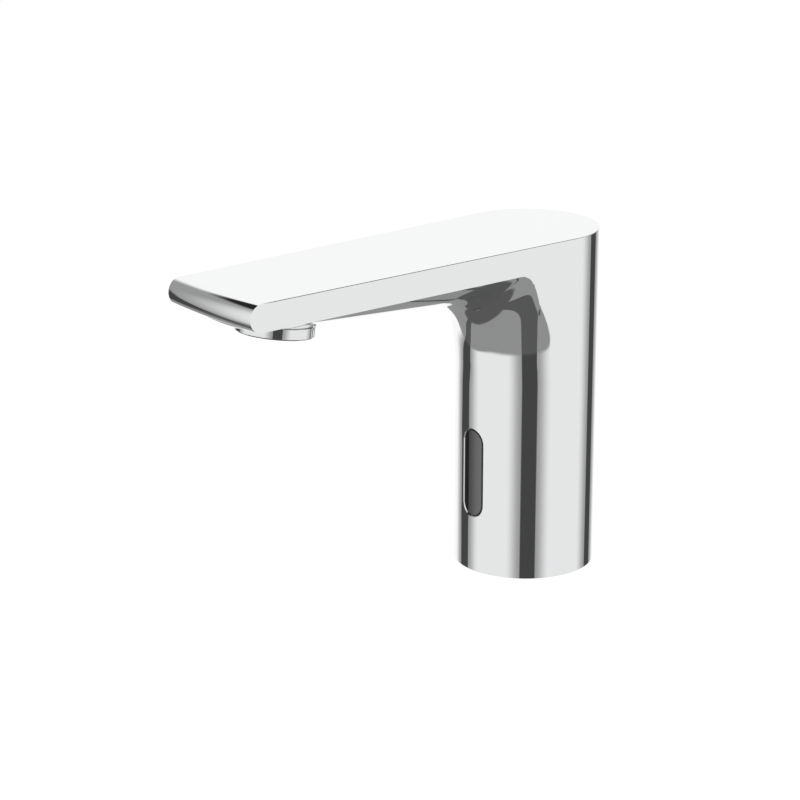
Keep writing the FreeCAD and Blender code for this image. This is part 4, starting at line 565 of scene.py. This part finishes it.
class CastingSurface:
    # the outside as plain functions, in millimetres
    def __init__(self, size):
        self.size = size
        nose = size["reach"] - size["bow"]
        tip = size["tipHalf"]
        self.radius = size["columnRadius"]
        turn = math.acos(self.radius / math.hypot(tip, nose)) + math.atan2(-nose, tip)
        self.outX, self.outY = math.cos(turn), math.sin(turn)
        self.tangentAngle = math.pi / 2 + turn
        tilt = math.radians(size["outlet"]["tilt"])
        self.outletUp = Vector((0, math.sin(tilt), math.cos(tilt)))
        self.outletSide = Vector((0, math.cos(tilt), -math.sin(tilt)))
        self.outletRim = Vector((0, -size["outlet"]["reach"], size["outlet"]["level"]))
        low, high = 0.5, 1.2
        for _ in range(40):
            middle = (low + high) / 2
            x, y = self.polar(size["throatRadius"], middle)
            low, high = (middle, high) if self.beyondFlank(x, y) < 0 else (low, middle)
        self.cornerAngle = low

    def polar(self, reach, angle):
        # angles are counted from the front, to the right
        return reach * math.sin(angle), -reach * math.cos(angle)

    def beyondFlank(self, x, y):
        return x * self.outX + y * self.outY - self.radius

    def halfWidth(self, y):
        return (self.radius - y * self.outY) / self.outX

    def noseY(self, x):
        return -(self.size["reach"] - self.size["bow"] * (x / self.size["tipHalf"]) ** 2)

    def flare(self, z, angle):
        # reach and tilt of the flare, which starts later at the sides and ends at the throat there
        size = self.size
        lag = size["flareLag"] * abs(math.sin(angle))
        rise = max(z - size["flareStart"] - lag, 0)
        sweep = size["flareRadius"]
        front = self.radius + sweep - math.sqrt(sweep * sweep - rise * rise)
        tilt = math.asin(rise / sweep)
        side = min(abs(angle) / self.cornerAngle, 1) ** 4
        limit = size["throatRadius"]
        over = max(front - limit, 0) * side * size["throatHold"]
        if over > 0:
            tilt = math.atan(math.tan(tilt) * (1 - side * size["throatHold"]))
        return front - over, tilt

    def neckReach(self, z, angle):
        # distance from the axis to the flaring column with its soft corners
        size = self.size
        front, _ = self.flare(z, angle)
        angle = abs(angle)
        if front < self.radius + 0.002 or angle > self.tangentAngle:
            return self.radius
        share = min((z - size["flareStart"]) / (size["cornerEnd"] - size["flareStart"]), 1)
        change = 1 - math.cos(share * math.pi / 2)
        corner = size["softCorner"] + (size["crispCorner"] - size["softCorner"]) * change
        along = math.sqrt((front - corner) ** 2 - (self.radius - corner) ** 2)
        middleX = self.outX * (self.radius - corner) + self.outY * along
        middleY = self.outY * (self.radius - corner) - self.outX * along
        x, y = self.polar(1, angle)
        if angle <= math.atan2(middleX, -middleY):
            return front
        flank = self.radius / (x * self.outX + y * self.outY)
        past = (x * flank - middleX) * self.outY - (y * flank - middleY) * self.outX
        if past <= 0:
            return flank
        toward = x * middleX + y * middleY
        return toward + math.sqrt(max(toward ** 2 - middleX ** 2 - middleY ** 2 + corner ** 2, 0))

    def bellyDepth(self, reach):
        size = self.size
        tip = size["bellyTipReach"]
        fall = (size["bellyRoot"] - size["bellyTip"]) / (tip - size["throatRadius"])
        depth = size["bellyTip"] + fall * (tip - reach)
        if reach > tip:
            share = min((reach - tip) / (size["bellyEndReach"] - tip), 1)
            depth *= math.sqrt(1 - share * share)
        return depth

    def bowShare(self, reach):
        tip = self.size["bellyTipReach"]
        share = min(max((reach - tip) / (self.size["bellyEndReach"] - tip), 0), 1)
        return share * share

    def bellyLevel(self, x, y):
        half = self.halfWidth(y)
        reach = -y
        for _ in range(4):
            reach = -y + self.size["bow"] * min(x / half, 1) ** 2 * self.bowShare(reach)
        depth = self.bellyDepth(reach)
        if depth < 0.001:
            return self.size["bandLow"]
        arc = (half * half + depth * depth) / (2 * depth)
        beyond = max(abs(x) - half, 0) * half / (arc - depth)  # straight on past the flank
        inside = min(abs(x), half)
        return self.size["bandLow"] - math.sqrt(arc * arc - inside * inside) + arc - depth + beyond

    def bellyNormal(self, x, y):
        step = 0.02
        alongX = (self.bellyLevel(x + step, y) - self.bellyLevel(x - step, y)) / (2 * step)
        alongY = (self.bellyLevel(x, y + step) - self.bellyLevel(x, y - step)) / (2 * step)
        return Vector((alongX, alongY, -1)).normalized()

    def blend(self, place, angle):
        # a ball, larger at the middle, rolled between the flare and the belly
        size = self.size
        ball = size["blendMiddle"] + (size["blendSide"] - size["blendMiddle"]) * place * place
        low, high = size["flareStart"], size["bandLow"]
        calm = 30  # smaller steps for a larger ball, so that the search settles
        for _ in range(17):
            level = (low + high) / 2
            reach, tilt = self.flare(level, angle)
            ballLevel = level - ball * math.sin(tilt)
            ballX, ballY = self.polar(reach + ball * math.cos(tilt), angle)
            x, y = ballX, ballY
            for _ in range(6):
                normal = self.bellyNormal(x, y)
                x += (ballX - ball * normal.x - x) / (1 + ball / calm)
                y = ballY - ball * normal.y
            if ballLevel < self.bellyLevel(x, y) + ball * normal.z:
                low = level
            else:
                high = level
        inX, inY = self.polar(-math.cos(tilt), angle)
        start = Vector((inX, inY, math.sin(tilt)))
        return {"level": level, "ball": ball, "middle": Vector((ballX, ballY, ballLevel)),
                "start": start, "end": -normal, "turn": start.angle(-normal)}

    def blendPoint(self, blend, share):
        # share 0 is on the flare, 1 on the belly
        turn = blend["turn"]
        mixed = blend["start"] * math.sin((1 - share) * turn) + blend["end"] * math.sin(share * turn)
        return blend["middle"] + mixed * (blend["ball"] / math.sin(turn))

    def sideBlend(self, share):
        # the blend that meets the flank at this share of its turn, and its angle
        low, high = 0.3, 1.3
        for _ in range(20):
            middle = (low + high) / 2
            blend = self.blend(1.0, middle)
            point = self.blendPoint(blend, share)
            low, high = (middle, high) if self.beyondFlank(point.x, point.y) < 0 else (low, middle)
        return blend, low

    def frontPoint(self, place, angle, share):
        # a point on the way from the top of the front grid, up the flare and over the blend
        blend = self.blend(place, angle)
        bottom = self.size["frontTop"]
        flare = blend["level"] - bottom
        whole = flare + blend["ball"] * blend["turn"]
        way = share * whole
        if way <= flare:
            level = bottom + way
            return Vector((*self.polar(self.neckReach(level, angle), angle), level))
        return self.blendPoint(blend, (way - flare) / (whole - flare))


class Patchwork:
    def __init__(self):
        self.points = []
        self.faces = []

    def add(self, point):
        self.points.append(tuple(point))
        return len(self.points) - 1

    def grid(self, rows, closed=False, skip=None):
        # rows of points of equal length; skip(row, column) leaves a face out
        marks = [[self.add(point) for point in row] for row in rows]
        for row in range(len(marks) - 1):
            count = len(marks[row])
            for column in range(count if closed else count - 1):
                if skip and skip(row, column):
                    continue
                after = (column + 1) % count
                low, high = marks[row], marks[row + 1]
                self.faces.append((low[column], low[after], high[after], high[column]))

    def cover(self, points):
        self.faces.append(tuple(self.add(point) for point in points))

    def build(self, name, weld=0.0004):
        mesh = bpy.data.meshes.new(name)
        mesh.from_pydata([(x * mm, y * mm, z * mm) for x, y, z in self.points], [], self.faces)
        work = bmesh.new()
        work.from_mesh(mesh)
        bmesh.ops.remove_doubles(work, verts=work.verts, dist=weld * mm)
        bmesh.ops.dissolve_degenerate(work, dist=weld * mm, edges=work.edges)
        bmesh.ops.recalc_face_normals(work, faces=work.faces)
        loose = [edge for edge in work.edges if len(edge.link_faces) != 2]
        print(name, "faces:", len(work.faces), "open edges:", len(loose))
        work.to_mesh(mesh)
        work.free()
        return mesh


def boxLoop(rows, lowRow, highRow, lowColumn, highColumn):
    # the points round a block of a grid, in order
    loop = [rows[lowRow][column] for column in range(lowColumn, highColumn)]
    loop += [rows[row][highColumn] for row in range(lowRow, highRow)]
    loop += [rows[highRow][column] for column in range(highColumn, lowColumn, -1)]
    loop += [rows[row][lowColumn] for row in range(highRow, lowRow, -1)]
    return loop


def racetrackPoint(x, z, width, height, grow=0.0):
    # nearest point of an upright racetrack's outline
    straight = (height - width) / 2
    middle = min(max(z, -straight), straight)
    away = math.hypot(x, z - middle)
    radius = width / 2 + grow
    return x / away * radius, middle + (z - middle) / away * radius


def fairStrips(strips, first, last, fairing):
    # evens out the bends between the flare, the blend and the belly; the side edges stay
    columns = len(strips[0])
    for _ in range(fairing["rounds"]):
        before = [[Vector(point) for point in row] for row in strips[first - 1:last + 2]]
        for row in range(1, len(before) - 1):
            for column in range(1, columns - 1):
                around = before[row - 1][column] + before[row + 1][column]
                around += before[row][column - 1] + before[row][column + 1]
                mixed = before[row][column] * fairing["own"] + around * fairing["around"]
                strips[first - 1 + row][column] = tuple(mixed)


def makeCasting(size):
    skin = CastingSurface(size)
    book = Patchwork()
    corner = skin.cornerAngle
    tangent = skin.tangentAngle
    window = size["window"]

    # places across the front, closer together beside the corners
    half = 44
    evenShare = 0.975
    shares = [index / half * evenShare for index in range(half + 1)] + [0.985, 0.992, 0.997, 1.0]
    shares = [-share for share in reversed(shares[1:])] + shares
    centre = len(shares) // 2
    frontAngles = [share * corner for share in shares]
    degreesPast = (0.2, 0.5, 1.0, 1.8, 3.0, 5.0, 8.0, 12.0, 17.0, 23.0)
    sideAngles = [corner + math.radians(step) for step in degreesPast] + [tangent]
    backCount = 60
    backTurn = 2 * math.pi - 2 * tangent
    backAngles = [tangent + backTurn * index / backCount for index in range(1, backCount)]
    allAngles = frontAngles + sideAngles + backAngles
    allAngles += [2 * math.pi - angle for angle in reversed(sideAngles)]

    def wrapped(angle):
        return angle if angle <= math.pi else angle - 2 * math.pi

    # column and flare
    low = window["level"] - window["height"] / 2 - window["margin"]
    high = window["level"] + window["height"] / 2 + window["margin"]
    windowRows = 18
    levels = [0, low / 2]
    levels += [low + (high - low) * index / windowRows for index in range(windowRows + 1)]
    levels += [(high + size["flareStart"]) / 2, size["flareStart"]]
    flareRows, neckRows = 12, 30
    spans = (
        (size["flareStart"], size["frontTop"], flareRows),
        (size["frontTop"], size["neckTop"], neckRows),
    )
    for start, end, count in spans:
        levels += [start + (end - start) * index / count for index in range(1, count)] + [end]
    firstWindowRow = 2
    lastWindowRow = firstWindowRow + windowRows
    windowColumns = 12
    lowColumn = centre - windowColumns
    highColumn = centre + windowColumns

    def ringAt(z):
        points = []
        for angle in allAngles:
            x, y = skin.polar(skin.neckReach(z, wrapped(angle)), angle)
            points.append((x, y, z))
        return points

    def inWindow(row, column):
        return firstWindowRow <= row < lastWindowRow and lowColumn <= column < highColumn

    def leftOut(row, column):
        aboveFront = levels[row] >= size["frontTop"] and column < len(frontAngles) - 1
        return inWindow(row, column) or aboveFront

    outside = [ringAt(z) for z in levels]
    book.grid(outside, closed=True, skip=leftOut)

    # inside of the column
    bore = size["columnRadius"] - size["wall"]
    boreTop = size["height"] - size["lid"]
    boreLevels = levels[:lastWindowRow + 2] + [boreTop]
    inside = []
    for z in boreLevels:
        inside.append([(*skin.polar(bore, angle), z) for angle in allAngles])
    book.grid(inside, closed=True, skip=inWindow)
    book.cover(inside[-1])
    book.grid([outside[0], inside[0]], closed=True)

    # the window's opening, with its bright chamfer
    def onCylinder(x, z, radius, inset=0.0):
        return x, -(math.sqrt(radius * radius - x * x) - inset), z + window["level"]

    chamfer = window["chamfer"]
    rings = [[] for _ in range(6)]
    for x, y, z in boxLoop(outside, firstWindowRow, lastWindowRow, lowColumn, highColumn):
        edgeX, edgeZ = racetrackPoint(x, z - window["level"], window["width"], window["height"], chamfer)
        wallX, wallZ = racetrackPoint(x, z - window["level"], window["width"], window["height"])
        rings[0].append((x, y, z))
        for ring, share in ((1, 0.4), (2, 0.75), (3, 1.0)):
            mixX = x + (edgeX - x) * share
            mixZ = z - window["level"] + (edgeZ - z + window["level"]) * share
            rings[ring].append(onCylinder(mixX, mixZ, skin.radius))
        rings[4].append(onCylinder(wallX, wallZ, skin.radius, chamfer))
        rings[5].append(onCylinder(wallX, wallZ, bore))
    inner = boxLoop(inside, firstWindowRow, lastWindowRow, lowColumn, highColumn)
    book.grid(rings + [inner], closed=True)

    # front of the flare, blend, belly, nose: one strip per place across
    frontRow = levels.index(size["frontTop"])
    sideColumn = len(frontAngles) - 1
    sideRows = [(corner, outside[row][sideColumn]) for row in range(frontRow, len(levels))]
    blendRows = 18
    sidePull = 6  # how late across the front the rows turn to follow the side's own spacing
    for index in range(blendRows + 1):
        blend, angle = skin.sideBlend(index / blendRows)
        sideRows.append((angle, tuple(skin.blendPoint(blend, index / blendRows))))
    edgeWays = [0.0]
    for (_, before), (_, after) in zip(sideRows, sideRows[1:]):
        edgeWays.append(edgeWays[-1] + (Vector(after) - Vector(before)).length)
    strips = []
    last = len(sideRows) - 1
    for index, (angle, edge) in enumerate(sideRows):
        row = []
        for place in shares[centre:-1]:
            pull = place ** sidePull
            way = index / last * (1 - pull) + edgeWays[index] / edgeWays[-1] * pull
            row.append(tuple(skin.frontPoint(place, place * angle, way)))
        row.append(edge)
        strips.append([(-x, y, z) for x, y, z in reversed(row[1:])] + row)
    blendEnd = len(strips) - 1
    outlet = size["outlet"]
    boxStart, boxEnd = outlet["patch"]
    bellyRows = 22
    contact = strips[-1]
    for index in range(1, bellyRows + 1):
        share = index / bellyRows
        ease = share * share * (3 - 2 * share)
        row = []
        for place, (x, y, z) in zip(shares, contact):
            newY = y + (-boxStart - y) * share
            ratio = x / skin.halfWidth(y)
            newX = (ratio + (place - ratio) * ease) * skin.halfWidth(newY)
            row.append((newX, newY, skin.bellyLevel(newX, newY)))
        strips.append(row)
    boxLow = len(strips) - 1
    fairing = size["fairing"]
    fairStrips(strips, fairing["firstRow"], blendEnd + fairing["pastBlend"], fairing)

    def bellyRow(reach):
        row = []
        for place in shares:
            y = -(reach - size["bow"] * place * place * skin.bowShare(reach))
            x = place * skin.halfWidth(y)
            row.append((x, y, skin.bellyLevel(x, y)))
        return row

    boxRows = 18
    for index in range(1, boxRows + 1):
        strips.append(bellyRow(boxStart + (boxEnd - boxStart) * index / boxRows))
    boxHigh = len(strips) - 1
    endRows = 10
    for index in range(1, endRows + 1):
        share = math.sin(index / endRows * math.pi / 2)
        strips.append(bellyRow(boxEnd + (size["bellyEndReach"] - boxEnd) * share))
    noseRound = size["noseRound"]
    middle = (size["height"] + size["bandLow"]) / 2
    flat = (size["height"] - size["bandLow"]) / 2 - noseRound
    noseRows = 30
    for index in range(noseRows + 1):
        turn = (index / noseRows - 0.5) * math.pi
        shift = flat if turn > 0 else -flat
        row = []
        for place in shares:
            x = place * size["tipHalf"]
            for _ in range(3):
                y = skin.noseY(x) + noseRound * (1 - math.cos(turn))
                x = place * skin.halfWidth(y)
            row.append((x, y, middle + shift + noseRound * math.sin(turn)))
        strips.append(row)
    holeColumns = 29
    holeLow, holeHigh = centre - holeColumns, centre + holeColumns

    def inOutlet(row, column):
        return boxLow <= row < boxHigh and holeLow <= column < holeHigh

    book.grid(strips, skip=inOutlet)

    # outlet recess, thread and chamber
    up, side, rim = skin.outletUp, skin.outletSide, skin.outletRim

    def onOutlet(radius, turn, height):
        across = Vector((radius * math.cos(turn), 0, 0))
        return rim + across + side * (radius * math.sin(turn)) + up * height

    rings = [boxLoop(strips, boxLow, boxHigh, holeLow, holeHigh)]
    turns = []
    edge = []
    for point in rings[0]:
        away = Vector(point) - rim
        turn = math.atan2(away.dot(side), away.x)
        height = 3.0
        for _ in range(8):
            spot = onOutlet(outlet["recess"], turn, height)
            height += (skin.bellyLevel(spot.x, spot.y) - spot.z) / up.z
        turns.append(turn)
        edge.append(onOutlet(outlet["recess"], turn, height))
    for share in (0.3, 0.55, 0.75, 0.9):
        ring = []
        for point, spot in zip(rings[0], edge):
            x = point[0] + (spot.x - point[0]) * share
            y = point[1] + (spot.y - point[1]) * share
            ring.append((x, y, skin.bellyLevel(x, y)))
        rings.append(ring)
    rings.append(edge)
    for radius, height in outlet["profile"]:
        rings.append([onOutlet(radius, turn, height) for turn in turns])
    book.grid(rings, closed=True)
    book.cover(rings[-1])

    # flanks, back, rounded top edge and top
    top = size["height"]
    roundTo = size["edgeRound"]
    noseTop = strips[-1]
    rimCount = 26
    stations = []
    startY = noseTop[-1][1]
    endY = skin.radius * skin.outY
    for index in range(rimCount + 1):
        share = index / rimCount
        y = startY + (endY - startY) * share * share if share < 1 else endY
        stations.append(y)

    def edgeSize(y):
        share = min(max((y - startY) / size["edgeRunOut"], 0), 1)
        return roundTo * math.sin(share * math.pi / 2)

    rimSpots = [(skin.halfWidth(y), y, skin.outX, skin.outY, edgeSize(y)) for y in stations]
    for angle in backAngles:
        x, y = skin.polar(1, angle)
        rimSpots.append((x * skin.radius, y * skin.radius, x, y, roundTo))
    for x, y, outX, outY, edgeRadius in reversed(rimSpots[:rimCount + 1]):
        rimSpots.append((-x, y, -outX, outY, edgeRadius))
    rimRows = []
    arcSteps = 6
    for index in range(arcSteps + 1):
        turn = index / arcSteps * math.pi / 2
        row = []
        for x, y, outX, outY, edgeRadius in rimSpots:
            inset = edgeRadius * (1 - math.cos(turn))
            level = top - edgeRadius + edgeRadius * math.sin(turn)
            row.append((x - outX * inset, y - outY * inset, level))
        rimRows.append(row)
    book.grid(rimRows)
    book.cover(list(rimRows[-1]) + list(noseTop)[1:-1])
    firstSide = len(frontAngles)
    lastSide = firstSide + len(sideAngles)
    backLow = outside[-1][lastSide - 1:lastSide + len(backAngles) + 1]
    backHigh = rimRows[0][rimCount:rimCount + len(backAngles) + 2]
    book.grid([backLow, backHigh])
    rightEdge = [row[-1] for row in strips[len(levels) - 1 - frontRow:]]
    rightFlank = [outside[-1][index] for index in range(lastSide - 1, firstSide - 1, -1)]
    rightFlank += rightEdge + [rimRows[0][index] for index in range(1, rimCount + 1)]
    book.cover(rightFlank)
    book.cover([(-x, y, z) for x, y, z in rightFlank])

    return book.build("casting")


castingMesh = makeCasting(casting)
softEdges(castingMesh)
placePiece("chromeBody", castingMesh, "tap", "chrome", "body_shell")
print("casting made")

# coil springs for the poppet and the plunger, built in the boxes of the CAD springs they replace
springs = {
    "check_spring": {"name": "checkSpring", "joint": "check_lift", "coil": 2.3, "wire": 0.3,
                     "turns": 5, "travel": 1.8, "seat": 23.2},
    "plunger_spring": {"name": "plungerSpring", "joint": "plunger_lift", "coil": 1.8, "wire": 0.3,
                       "turns": 5, "travel": 1.5, "seat": 55.5},
}


def makeSpring(node, size):
    low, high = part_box(node)
    wire = size["wire"] * mm
    coil = size["coil"] * mm
    middle = (low + high) / 2
    rise = high.z - low.z - 2 * wire
    stepsPerTurn, sides = 32, 10
    steps = stepsPerTurn * size["turns"]
    slope = math.atan2(rise, math.tau * size["turns"] * coil)
    rings = []
    for step in range(steps + 1):
        share = step / steps
        turn = math.tau * size["turns"] * share
        outward = Vector((math.cos(turn), math.sin(turn), 0))
        flat = math.cos(slope)
        along = Vector((-math.sin(turn) * flat, math.cos(turn) * flat, math.sin(slope)))
        across = along.cross(outward)
        centre = Vector((middle.x, middle.y, low.z + wire + rise * share)) + outward * coil
        ring = []
        for side in range(sides):
            angle = math.tau * side / sides
            ring.append(centre + (outward * math.cos(angle) + across * math.sin(angle)) * wire)
        rings.append(ring)
    points = [point for ring in rings for point in ring]
    faces = [tuple(range(sides - 1, -1, -1)), tuple(range(steps * sides, steps * sides + sides))]
    for step in range(steps):
        for side in range(sides):
            after = (side + 1) % sides
            first, second = step * sides, (step + 1) * sides
            faces.append((first + side, first + after, second + after, second + side))
    mesh = bpy.data.meshes.new(node + "Coil")
    mesh.from_pydata(points, [], faces)
    softEdges(mesh, limit=60.0)
    piece = placePiece(size["name"], mesh, "tap", "stainless", node)
    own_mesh(piece)


for node, size in springs.items():
    makeSpring(node, size)
print("springs made:", len(springs))
